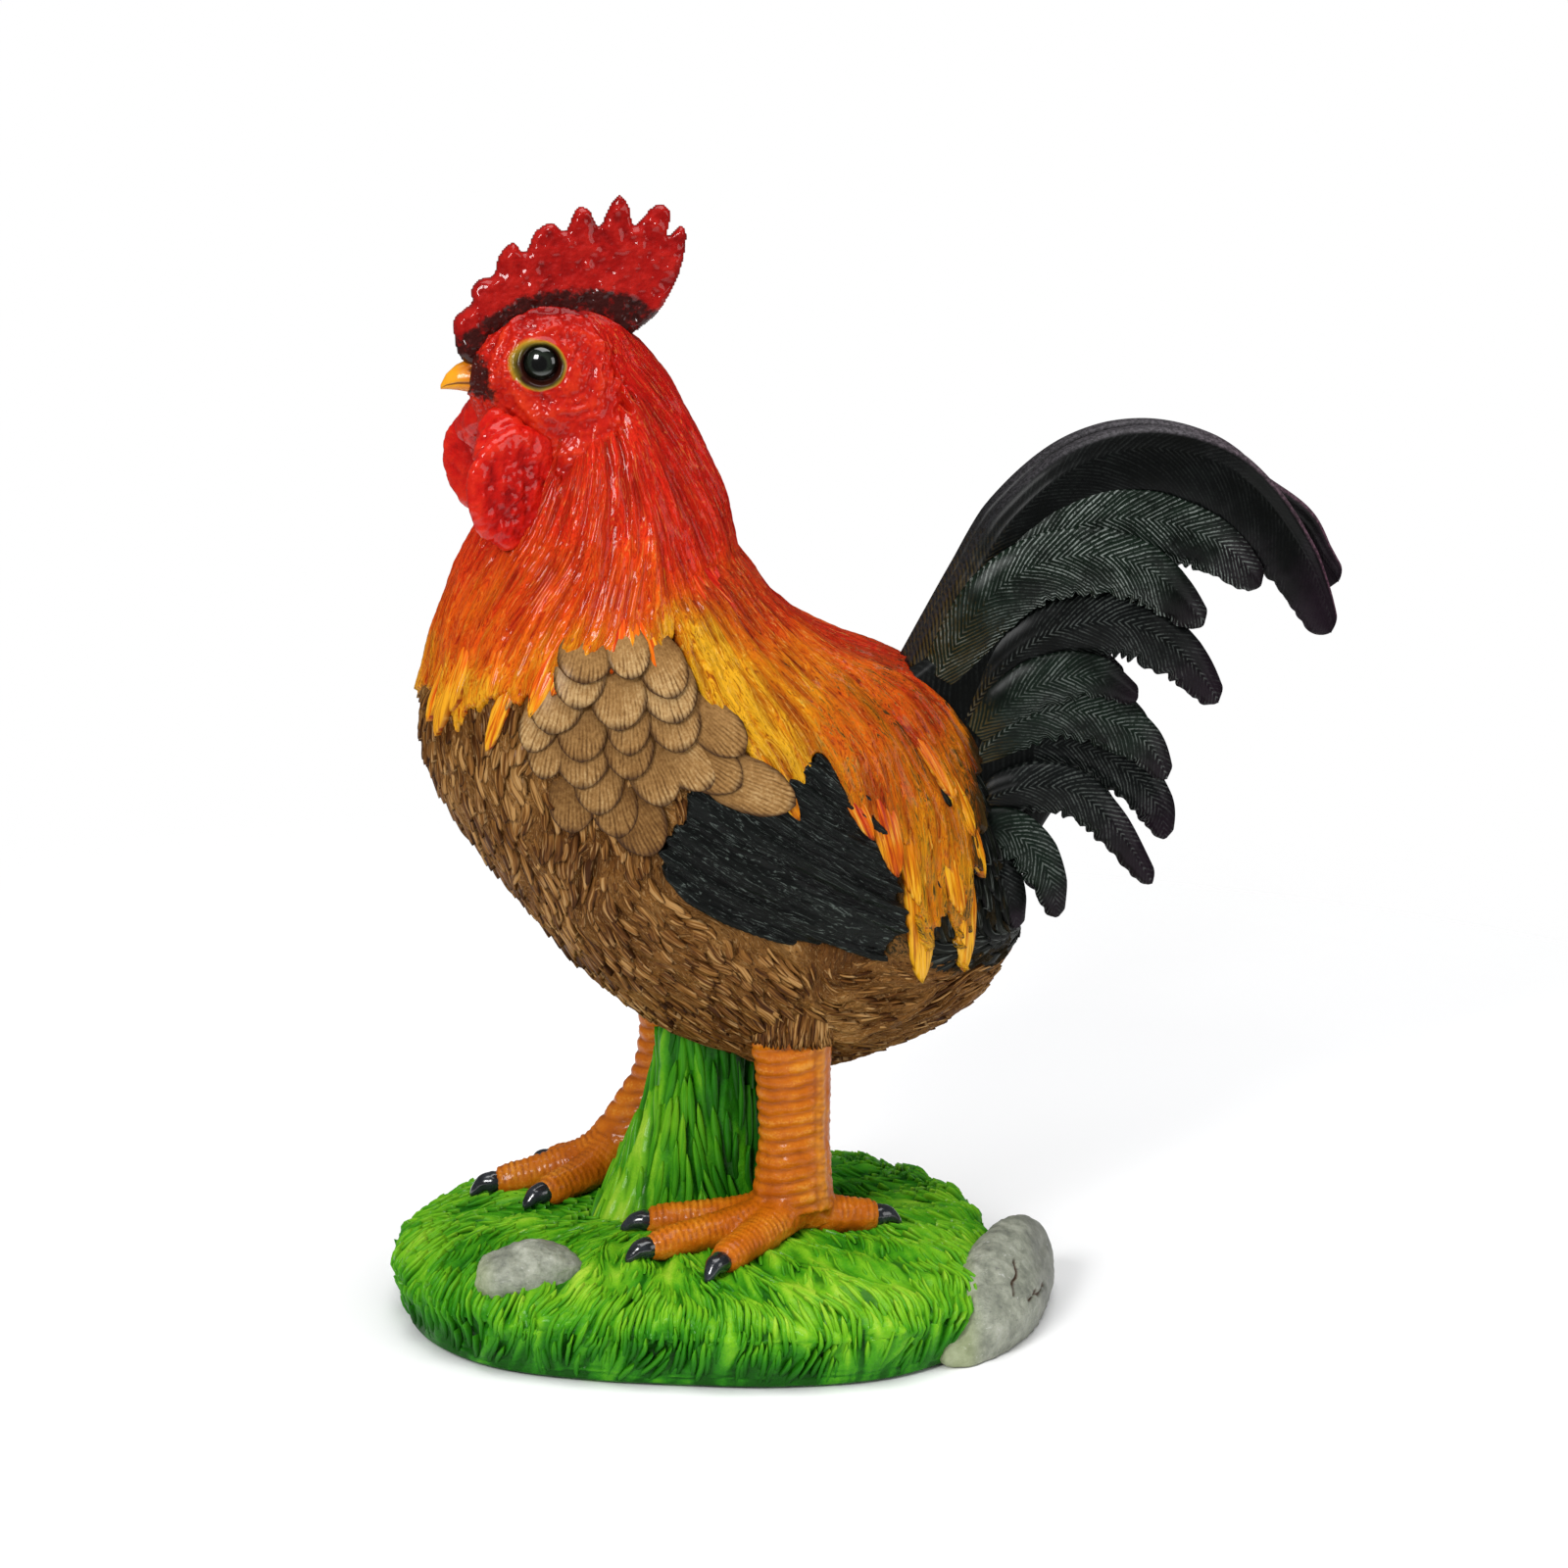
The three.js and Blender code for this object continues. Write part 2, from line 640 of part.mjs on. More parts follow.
// Everything above the plane where the head sits on the neck
function aboveNeck(shift) {
  const [backX, backZ, frontX, frontZ] = TRUNK_SLICES[NECK_SEAM_SLICE];
  const along = new THREE.Vector3(backX - frontX, 0, backZ - frontZ).normalize();
  const up = new THREE.Vector3(-along.z, 0, along.x);
  const reach = 120;
  const block = new THREE.BoxGeometry(reach, reach, reach);
  block.translate(0, 0, reach / 2 + shift);
  const turn = new THREE.Matrix4().makeBasis(along, new THREE.Vector3(0, 1, 0), up);
  block.applyMatrix4(turn).translate((backX + frontX) / 2, 0, (backZ + frontZ) / 2);
  return solid(block);
}

// A line of drooping pointed tips hung on a curve
function fringe(line, tips, drop) {
  const curve = flatCurve(line);
  const points = [];
  for (let i = 0; i < tips; i += 1) {
    const root = curve.getPoint(i / tips);
    const tip = curve.getPoint((i + 0.5) / tips);
    const side = curve.getTangent((i + 0.5) / tips);
    const length = drop * (0.75 + 0.25 * Math.sin(i * 2.4));
    points.push([root.x, root.z], [tip.x + side.z * length, tip.z - side.x * length]);
  }
  const last = curve.getPoint(1);
  points.push([last.x, last.z]);
  return points;
}

function scallops(line, count, depth, lift) {
  const curve = flatCurve(line);
  const points = [];
  const arcs = 3;
  for (let i = 0; i < count; i += 1) {
    for (let k = 0; k < arcs; k += 1) {
      const at = curve.getPoint((i + k / arcs) / count);
      points.push([at.x, at.z + lift - depth * Math.sin((k / arcs) * Math.PI)]);
    }
  }
  const last = curve.getPoint(1);
  points.push([last.x, last.z + lift]);
  return points;
}

const hackleOutline = [[-140, 420], ...fringe(HACKLE_LINE, HACKLE_TIPS, HACKLE_DROP), [60, 420]];

function layer(outline, thickness, lowY, highY, lockRise = 0) {
  return trunk(SEAM + thickness, lockRise).intersect(prism(outline, lowY, highY)).subtract(trunk(SEAM));
}

function hackleCape() {
  const sleeve = layer(hackleOutline, HACKLE_THICKNESS, -CAPE_REACH, CAPE_REACH, LOCK_RISE);
  return sleeve.subtract(aboveNeck(-SEAM / 2));
}

function saddleCape() {
  const back = layer(SADDLE_OUTLINE, SADDLE_THICKNESS, -CAPE_REACH, CAPE_REACH, LOCK_RISE);
  return largest(back.subtract(prism(outset(hackleOutline, SEAM), -CAPE_REACH, CAPE_REACH)));
}

// Everything of the two capes and the trunk, with the seam added, to cut what lies on them
function dressedTrunk() {
  const hackle = trunk(2 * SEAM + HACKLE_THICKNESS, LOCK_RISE)
    .intersect(prism(outset(hackleOutline, SEAM), -CAPE_REACH, CAPE_REACH));
  const saddle = trunk(2 * SEAM + SADDLE_THICKNESS, LOCK_RISE)
    .intersect(prism(outset(SADDLE_OUTLINE, SEAM), -CAPE_REACH, CAPE_REACH));
  return joined([trunk(SEAM), hackle, saddle]);
}

// Left wing

function capePrisms(growth) {
  const outlines = [hackleOutline, SADDLE_OUTLINE].map((outline) => outset(outline, growth));
  return joined(outlines.map((outline) => prism(outline, -CAPE_REACH, CAPE_REACH)));
}

function covertRowOutline(row) {
  const lift = row * COVERT_ROW_PITCH;
  const edge = scallops(COVERT_LINE, COVERT_SCALLOPS, COVERT_SCALLOP_DEPTH, lift);
  const top = Math.max(...HACKLE_LINE.map(([, z]) => z));
  return [...edge, [COVERT_LINE.at(-1)[0], top], [COVERT_LINE[0][0], top]];
}

function coverts() {
  const rows = [];
  for (let row = 0; row < COVERT_ROWS; row += 1) {
    const thickness = COVERT_THICKNESS + row * COVERT_ROW_STEP;
    rows.push(layer(covertRowOutline(row), thickness, -CAPE_REACH, -6));
  }
  return largest(joined(rows).subtract(capePrisms(SEAM)));
}

// One long wing quill: a pointed blade between its shoulder and its tip
function quillOutline([shoulderX, shoulderZ, tipX, tipZ]) {
  const along = new THREE.Vector2(tipX - shoulderX, tipZ - shoulderZ);
  const across = new THREE.Vector2(-along.y, along.x).normalize();
  const spot = (share, half) => [
    shoulderX + along.x * share + across.x * half,
    shoulderZ + along.y * share + across.y * half,
  ];
  const profile = [[0, 0.6], [0.3, 1], [0.8, 0.85], [1, 0.1]];
  const upper = profile.map(([share, half]) => spot(share, half * QUILL_HALF_WIDTH));
  const lower = profile.map(([share, half]) => spot(share, -half * QUILL_HALF_WIDTH)).reverse();
  return [...lower, ...upper];
}

function quills() {
  const blades = QUILLS.map((quill, i) => {
    const thickness = QUILL_THICKNESS + i * QUILL_STEP;
    return layer(quillOutline(quill), thickness, -CAPE_REACH, -6);
  });
  const covert = prism(outset(covertRowOutline(0), SEAM), -CAPE_REACH, -6);
  return largest(joined(blades).subtract(capePrisms(SEAM)).subtract(covert));
}

// Head

function headSurface() {
  const rings = [ringOf(TRUNK_SLICES[NECK_SEAM_SLICE], HEAD_SIDES, SEAM + HACKLE_THICKNESS)];
  for (let i = 0; i <= HEAD_STEPS; i += 1) {
    rings.push(ringOf(slice(HEAD_SLICES, i / HEAD_STEPS), HEAD_SIDES));
  }
  return skin(rings);
}

function eyeAxis(side) {
  return new THREE.Vector3(-0.22, side, 0.1).normalize();
}

function eye(side, growth = 0) {
  const profile = [new THREE.Vector2(0, -EYE_SEAT_DEPTH - growth)];
  profile.push(new THREE.Vector2(EYE_RADIUS + growth, -EYE_SEAT_DEPTH - growth));
  const arcs = 3;
  for (let i = 0; i <= arcs; i += 1) {
    const angle = (i / arcs) * Math.PI / 2;
    const radius = (EYE_RADIUS + growth) * Math.cos(angle);
    profile.push(new THREE.Vector2(i === arcs ? 0 : radius, (EYE_BULGE + growth) * Math.sin(angle)));
  }
  const dome = new THREE.LatheGeometry(profile, 12);
  const turn = new THREE.Quaternion().setFromUnitVectors(new THREE.Vector3(0, 1, 0), eyeAxis(side));
  dome.applyQuaternion(turn).translate(EYE_AT[0], side * EYE_OUT, EYE_AT[1]);
  return solid(surfaceFrom(dome));
}

// Give a library shape shared corners and outward faces
function surfaceFrom(geometry) {
  const bare = mergeVertices(geometry.clone().deleteAttribute('normal').deleteAttribute('uv'), 1e-4);
  const place = bare.getAttribute('position');
  const points = [];
  for (let i = 0; i < place.count; i += 1) points.push(new THREE.Vector3().fromBufferAttribute(place, i));
  return surface(points, Array.from(bare.index.array));
}

function beak(growth = 0) {
  const sides = 12;
  const rings = BEAK_SLICES.map(([x, z, halfHeight, halfWidth]) => (
    Array.from({ length: sides }, (_, j) => {
      const angle = (j / sides) * Math.PI * 2;
      const ridge = 1 - 0.22 * Math.sin(angle);
      const y = (halfWidth * ridge + growth) * Math.cos(angle);
      return new THREE.Vector3(x, y, z + (halfHeight + growth) * Math.sin(angle));
    })
  ));
  return solid(skin(rings));
}

function comb() {
  const outline = new THREE.SplineCurve(COMB_OUTLINE.map(([x, z]) => new THREE.Vector2(x, z)));
  const shape = new THREE.Shape(outline.getPoints(COMB_OUTLINE.length + 12));
  const blade = new THREE.ExtrudeGeometry(shape, {
    depth: 1,
    bevelThickness: 0.5,
    bevelSize: COMB_BEVEL,
    bevelOffset: -COMB_BEVEL,
    bevelSegments: 1,
  });
  blade.rotateX(Math.PI / 2).translate(0, 0.5, 0);
  const place = blade.getAttribute('position');
  const heights = COMB_OUTLINE.map(([, z]) => z);
  const [low, high] = [Math.min(...heights), Math.max(...heights)];
  for (let i = 0; i < place.count; i += 1) {
    const rise = (place.getZ(i) - low) / (high - low);
    place.setY(i, place.getY(i) * THREE.MathUtils.lerp(COMB_BASE_THICKNESS, COMB_TIP_THICKNESS, rise) / 2);
  }
  return solid(surfaceFrom(blade));
}

function lobe({ at, half, yaw }, side, forward) {
  const ball = new THREE.SphereGeometry(1, 12, 8).rotateX(Math.PI / 2);
  ball.scale(...half).rotateZ(side * yaw).translate(at[0] - forward, side * at[1], at[2]);
  return solid(surfaceFrom(ball));
}

function wattle(side, forward) {
  return lobe(WATTLE_LOBE, side, forward).add(lobe(WATTLE_ROOT, side, forward));
}

// Tail

function web(growth = 0) {
  const plate = new THREE.ExtrudeGeometry(
    new THREE.Shape(outset(WEB_OUTLINE, growth).map(([x, z]) => new THREE.Vector2(x, z))),
    { depth: 1, bevelEnabled: false },
  );
  plate.rotateX(Math.PI / 2).translate(0, 0.5, 0);
  const place = plate.getAttribute('position');
  for (let i = 0; i < place.count; i += 1) {
    const back = THREE.MathUtils.clamp((place.getX(i) - WEB_ROOT_X) / (WEB_REAR_X - WEB_ROOT_X), 0, 1);
    const thickness = THREE.MathUtils.lerp(WEB_ROOT_THICKNESS, WEB_REAR_THICKNESS, back) + 2 * growth;
    place.setY(i, place.getY(i) * thickness);
  }
  return solid(surfaceFrom(plate));
}

// Feather blade: swells from its root, ends bluntly, and is hollowed towards the mid plane
function feather({ spine, out, half, thick }, side, steps, growth = 0) {
  const curve = flatCurve(spine);
  const rings = [];
  for (let i = 0; i <= steps; i += 1) {
    const t = i / steps;
    const middle = curve.getPoint(t);
    const tangent = curve.getTangent(t);
    const across = new THREE.Vector3(-tangent.z, 0, tangent.x);
    const swell = interpolate([0.62, 0.9, 1, 0.98, 0.8, 0.55], t);
    const reach = half * swell + growth;
    const body = (thick / 2) * interpolate([1, 1, 0.95, 0.9, 0.7], t) + growth;
    const away = interpolate(out, t);
    rings.push(Array.from({ length: BLADE_SIDES }, (_, j) => {
      const angle = ((j + 0.5) / BLADE_SIDES) * Math.PI * 2;
      const point = middle.clone().addScaledVector(across, reach * Math.cos(angle));
      const hollow = BLADE_CAMBER * half * Math.cos(angle) ** 2;
      point.y = side * (away + body * Math.sin(angle) - hollow);
      return point;
    }));
  }
  return solid(skin(rings));
}

function greatSickle(tip) {
  return { ...GREAT_SICKLE, spine: [...GREAT_SICKLE_ROOT, ...tip] };
}

// Assembly

const paints = {
  grass: [0x3fae1c, 0.5],
  stone: [0x9a9a98, 0.75],
  horn: [0xe08a1e, 0.5],
  steel: [0x8a8d90, 0.4],
  breast: [0x8a5f3a, 0.65],
  hackle: [0xf0541a, 0.45],
  saddle: [0xf08a1c, 0.45],
  coverts: [0xa67a52, 0.65],
  quills: [0x24302c, 0.5],
  face: [0xd8281c, 0.4],
  comb: [0xc21420, 0.35],
  beak: [0xe8a024, 0.4],
  eye: [0x1c2420, 0.1],
  tail: [0x1c211f, 0.42],
};

const rooster = new THREE.Group();
rooster.name = 'rooster_sculpture';

function addPart(name, body, paint) {
  const [color, roughness] = paints[paint];
  const geometry = geometryOf(body);
  geometry.computeVertexNormals();
  const metalness = paint === 'steel' ? 1 : 0;
  const mesh = new THREE.Mesh(geometry, new THREE.MeshStandardMaterial({ color, roughness, metalness }));
  mesh.name = name;
  rooster.add(mesh);
}

const legs = [LEFT_LEG, RIGHT_LEG];
const rodBores = joined(legs.map((leg) => legRod(leg, SEAM)));
const legCuts = joined(legs.map((leg) => legCasting(leg, SEAM)));
const moundCut = solid(grown(moundGeometry(), SEAM));
const mound = solid(moundGeometry()).subtract(solid(rockGeometry(ROCK_SMALL, SEAM))).subtract(rodBores);
addPart('base_mound', largest(mound), 'grass');
addPart('rock_large', largest(solid(rockGeometry(ROCK_LARGE)).subtract(moundCut)), 'stone');
addPart('rock_small', solid(rockGeometry(ROCK_SMALL)), 'stone');

const trunkCut = trunk(SEAM);
const post = solid(postGeometry()).subtract(moundCut).subtract(trunkCut).subtract(legCuts);
addPart('grass_post', largest(post), 'grass');

legs.forEach((leg) => {
  const name = leg.side < 0 ? 'left' : 'right';
  const casting = legCasting(leg).subtract(trunkCut).subtract(moundCut).subtract(rodBores);
  addPart(`${name}_leg`, largest(casting), 'horn');
  addPart(`${name}_leg_rod`, legRod(leg), 'steel');
});

addPart('body_shell', solid(trunkSurface).subtract(aboveNeck(-SEAM / 2)).subtract(rodBores), 'breast');
addPart('hackle_cape', hackleCape(), 'hackle');
addPart('saddle_cape', saddleCape(), 'saddle');

const leftCoverts = coverts();
const leftQuills = quills();
addPart('left_wing_coverts', leftCoverts, 'coverts');
addPart('right_wing_coverts', mirrored(leftCoverts), 'coverts');
addPart('left_wing_quills', leftQuills, 'quills');
addPart('right_wing_quills', mirrored(leftQuills), 'quills');

const headShape = headSurface();
const headCut = solid(grown(headShape, SEAM));
const eyeSockets = joined([-1, 1].map((side) => eye(side, SEAM)));
const headBody = solid(headShape).subtract(eyeSockets).intersect(aboveNeck(SEAM / 2));
const dressed = dressedTrunk();
addPart('head', largest(headBody), 'face');
addPart('beak', largest(beak().subtract(headCut)), 'beak');
addPart('comb', largest(comb().subtract(headCut).subtract(dressed).subtract(beak(SEAM))), 'comb');
[['left_wattle', -1, 0], ['right_wattle', 1, RIGHT_WATTLE_FORWARD]].forEach(([name, side, forward]) => {
  addPart(name, largest(wattle(side, forward).subtract(headCut).subtract(dressed)), 'comb');
});
addPart('left_eye', eye(-1), 'eye');
addPart('right_eye', eye(1), 'eye');

const tailWeb = largest(web().subtract(dressed));
addPart('tail_web', tailWeb, 'tail');
const taken = [dressed, web(BLADE_SEAM)];
FEATHERS.forEach((blade) => {
  const steps = blade.spine.length + 3;
  const cut = taken.reduce((rest, solidBefore) => rest.subtract(solidBefore), feather(blade, -1, steps));
  const left = largest(cut);
  addPart(`left_${blade.name}`, left, 'tail');
  addPart(`right_${blade.name}`, mirrored(left), 'tail');
  taken.push(feather(blade, -1, steps, BLADE_SEAM), feather(blade, 1, steps, BLADE_SEAM));
});
[['left', -1, LEFT_SICKLE_TIP], ['right', 1, RIGHT_SICKLE_TIP]].forEach(([name, side, tip]) => {
  const blade = feather(greatSickle(tip), side, 14);
  const cut = taken.reduce((rest, solidBefore) => rest.subtract(solidBefore), blade);
  addPart(`${name}_great_sickle`, largest(cut), 'tail');
});

export default rooster;
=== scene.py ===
import bpy
import numpy as np
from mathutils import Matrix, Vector
from mathutils.bvhtree import BVHTree


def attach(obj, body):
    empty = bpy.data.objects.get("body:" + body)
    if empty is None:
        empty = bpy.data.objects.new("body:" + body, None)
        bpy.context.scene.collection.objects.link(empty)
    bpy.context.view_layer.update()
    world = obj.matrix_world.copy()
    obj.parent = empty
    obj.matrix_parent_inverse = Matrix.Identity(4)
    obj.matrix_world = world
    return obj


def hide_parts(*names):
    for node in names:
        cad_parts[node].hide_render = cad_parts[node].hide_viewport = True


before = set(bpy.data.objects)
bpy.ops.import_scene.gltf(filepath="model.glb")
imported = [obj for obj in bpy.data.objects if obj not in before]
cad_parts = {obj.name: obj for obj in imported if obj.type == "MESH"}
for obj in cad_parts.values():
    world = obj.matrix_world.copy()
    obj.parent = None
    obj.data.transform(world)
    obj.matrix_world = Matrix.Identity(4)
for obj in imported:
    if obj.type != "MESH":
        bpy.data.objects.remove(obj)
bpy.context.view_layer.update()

# Grass mound.
# A cast resin dome under combed grass, painted in greens that go from dark roots to
# yellow-green tips. The blades are carved strips that lie on the dome and stand off a little.
MM = 0.001
chance = np.random.default_rng(7)


def hashed(cell, seed):
    """A repeatable number from 0 to 1 for each whole-numbered cell."""
    mixed = cell[..., 0] * 73856093 ^ cell[..., 1] * 19349663 ^ cell[..., 2] * 83492791 ^ seed * 26544357
    mixed = (mixed & 0xffffffff) * 1274126177 & 0xffffffff
    mixed = (mixed ^ (mixed >> 15)) * 2246822519 & 0xffffffff
    return ((mixed >> 12) & 0xffff) / 65535


def lumps(points, size, seed=1, octaves=2):
    """Smooth noise from -1 to 1 at each point, with features of about that size."""
    total = np.zeros(points.shape[:-1])
    for octave in range(octaves):
        p = points / np.array(size) * 2 ** octave + 31.7 * octave
        cell = np.floor(p).astype(np.int64)
        ease = p - cell
        ease = ease * ease * (3 - 2 * ease)
        for corner in range(8):
            step = np.array([corner & 1, corner >> 1 & 1, corner >> 2 & 1])
            share = np.prod(np.where(step, ease, 1 - ease), axis=-1)
            total += share * (hashed(cell + step, seed + octave) * 2 - 1) / 2 ** octave
    return total


def ease(low_end, high_end, value):
    """0 below the low end, 1 above the high end, and a smooth step between."""
    t = np.clip((value - low_end) / (high_end - low_end), 0, 1)
    return t * t * (3 - 2 * t)


def unit(vectors):
    return vectors / np.maximum(np.linalg.norm(vectors, axis=-1, keepdims=True), 1e-9)


def lattice(rows, cols, closed=False):
    """The quads of a grid of points, numbered row by row."""
    number = np.arange(rows * cols).reshape(rows, cols)
    if closed:
        number = np.concatenate([number, number[:, :1]], axis=1)
    corners = [number[:-1, :-1], number[:-1, 1:], number[1:, 1:], number[1:, :-1]]
    return np.stack(corners, axis=-1).reshape(-1, 4)


def tube(rings):
    """Points and faces of a closed skin through rings of points, with its ends filled."""
    rows, cols = rings.shape[:2]
    points = np.concatenate([rings.reshape(-1, 3), rings[:1].mean(axis=1), rings[-1:].mean(axis=1)])
    quads = lattice(rows, cols, closed=True)
    here = np.arange(cols)
    after = (here + 1) % cols
    first = np.stack([after, here, np.full(cols, rows * cols)], axis=-1)
    start = (rows - 1) * cols
    last = np.stack([here + start, after + start, np.full(cols, rows * cols + 1)], axis=-1)
    a, b, c = points[quads[:, 0]], points[quads[:, 1]], points[quads[:, 2]]
    facing = (np.cross(b - a, c - a) * (a - points.mean(axis=0))).sum()
    faces = [quads, first, last]
    return points, faces if facing > 0 else [f[:, ::-1] for f in faces]


def piece(name, points, faces, paint, nodes=(), lie=None, marks=None):
    """Build one shown object from millimetre points; lie and marks are vectors that its paint reads."""
    if isinstance(faces, np.ndarray):
        faces = [faces]
    mesh = bpy.data.meshes.new(name)
    mesh.vertices.add(len(points))
    mesh.vertices.foreach_set("co", (np.asarray(points) * MM).astype(np.float32).ravel())
    sizes = np.concatenate([np.full(len(f), f.shape[1]) for f in faces])
    corners = np.concatenate([f.ravel() for f in faces])
    mesh.loops.add(len(corners))
    mesh.loops.foreach_set("vertex_index", corners.astype(np.int32))
    mesh.polygons.add(len(sizes))
    mesh.polygons.foreach_set("loop_start", np.concatenate([[0], np.cumsum(sizes)[:-1]]).astype(np.int32))
    mesh.update(calc_edges=True)
    mesh.shade_smooth()
    for key, values in (("lie", lie), ("marks", marks)):
        if values is not None:
            layer = mesh.attributes.new(key, "FLOAT_VECTOR", "POINT")
            layer.data.foreach_set("vector", np.asarray(values, np.float32).ravel())
    mesh.materials.append(paint)
    thing = bpy.data.objects.new(name, mesh)
    bpy.context.scene.collection.objects.link(thing)
    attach(thing, "root")
    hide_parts(*([nodes] if isinstance(nodes, str) else nodes))
    return thing


class Wire:
    """A value in a paint's node tree; arithmetic on it adds maths nodes."""

    def __init__(self, paint, socket):
        self.paint = paint
        self.socket = socket

    def maths(self, operation, *values, clamp=False):
        settings = {"operation": operation, "use_clamp": clamp}
        return self.paint.node("Math", settings, dict(enumerate(values)))

    def __add__(self, other):
        return self.maths("ADD", self, other)

    def __sub__(self, other):
        return self.maths("SUBTRACT", self, other)

    def __rsub__(self, other):
        return self.maths("SUBTRACT", other, self)

    def __mul__(self, other):
        return self.maths("MULTIPLY", self, other)

    def __pow__(self, other):
        return self.maths("POWER", self, other)

    __radd__ = __add__
    __rmul__ = __mul__

    def step(self, low_end, high_end):
        """0 at the low end and 1 at the high end, with a smooth step between."""
        limits = {"From Min": low_end, "From Max": high_end, "Value": self}
        return self.paint.node("MapRange", {"interpolation_type": "SMOOTHSTEP"}, limits)


class Paint:
    """A painted finish: the nodes added here feed one principled shader."""

    def __init__(self, name, **constants):
        self.material = bpy.data.materials.new(name)
        self.material.use_nodes = True
        self.tree = self.material.node_tree
        self.shader = self.tree.nodes["Principled BSDF"]
        for key, value in constants.items():
            self.shader.inputs[key.replace("_", " ")].default_value = value

    def node(self, kind, settings=None, inputs=None, out=0):
        made = self.tree.nodes.new("ShaderNode" + kind)
        for key, value in (settings or {}).items():
            setattr(made, key, value)
        for key, value in (inputs or {}).items():
            self.feed(made.inputs[key], value)
        return Wire(self, made.outputs[out])

    def feed(self, socket, value):
        if isinstance(value, Wire):
            self.tree.links.new(value.socket, socket)
        elif isinstance(value, tuple):
            socket.default_value = (*value, 1) if len(socket.default_value) == 4 else value
        else:
            socket.default_value = value

    def mix(self, share, one, other, blend="MIX"):
        return self.node("Mix", {"data_type": "RGBA", "blend_type": blend}, {0: share, 6: one, 7: other}, out=2)

    def place(self):
        return self.node("TexCoord", out=3)

    def vector(self, name):
        """The three parts of a vector that the mesh carries."""
        made = self.node("Attribute", {"attribute_name": name}, out=1)
        return made, [self.node("SeparateXYZ", {}, {0: made}, out=k) for k in range(3)]

    def noise(self, where, scale, detail=3.0, rough=0.6, stretch=(1, 1, 1)):
        if stretch != (1, 1, 1):
            where = self.node("Mapping", {"vector_type": "POINT"}, {"Vector": where, "Scale": stretch})
        return self.node("TexNoise", {}, {"Vector": where, "Scale": scale, "Detail": detail, "Roughness": rough})

    def ramp(self, share, *stops):
        made = self.node("ValToRGB", {}, {"Fac": share})
        elements = made.socket.node.color_ramp.elements
        elements[0].position, elements[0].color = stops[0][0], (*stops[0][1], 1)
        elements[1].position, elements[1].color = stops[-1][0], (*stops[-1][1], 1)
        for place, colour in stops[1:-1]:
            elements.new(place).color = (*colour, 1)
        return made

    def bump(self, height, distance, strength=1.0):
        return self.node("Bump", {}, {"Height": height, "Distance": distance, "Strength": strength})

    def finish(self, **inputs):
        for key, value in inputs.items():
            self.feed(self.shader.inputs[key.replace("_", " ")], value)
        return self.material


class Skin:
    """A surface that strips can be laid on."""

    def __init__(self, points, faces):
        self.tree = BVHTree.FromPolygons(points.tolist(), [f for part in faces for f in part.tolist()])

    def onto(self, points):
        """The nearest place on the surface to each point, and the way out there."""
        found = [self.tree.find_nearest(p)[:2] for p in points.reshape(-1, 3).tolist()]
        place = np.array([f[0][:] for f in found]).reshape(points.shape)
        return place, np.array([f[1][:] for f in found]).reshape(points.shape)

    def across(self, flow, place, normal):
        heading = flow(place)
        return unit(heading - normal * (heading * normal).sum(axis=-1, keepdims=True))


def scattered(candidates, normals, heading, along, across, limit, seed):
    """Pick places at random that keep an oval clear of each other, long way along their heading."""
    order = np.random.default_rng(seed).permutation(len(candidates))
    kept = np.empty((0, 3))
    chosen = []
    for i in order:
        gap = kept - candidates[i]
        lengthwise = gap @ heading[i]
        rest = (gap ** 2).sum(axis=1) - lengthwise ** 2
        if len(kept) == 0 or ((lengthwise / along) ** 2 + rest / across ** 2).min() > 1:
            kept = np.concatenate([kept, candidates[i:i + 1]])
            chosen.append(i)
            if len(chosen) == limit:
                break
    return np.array(chosen)


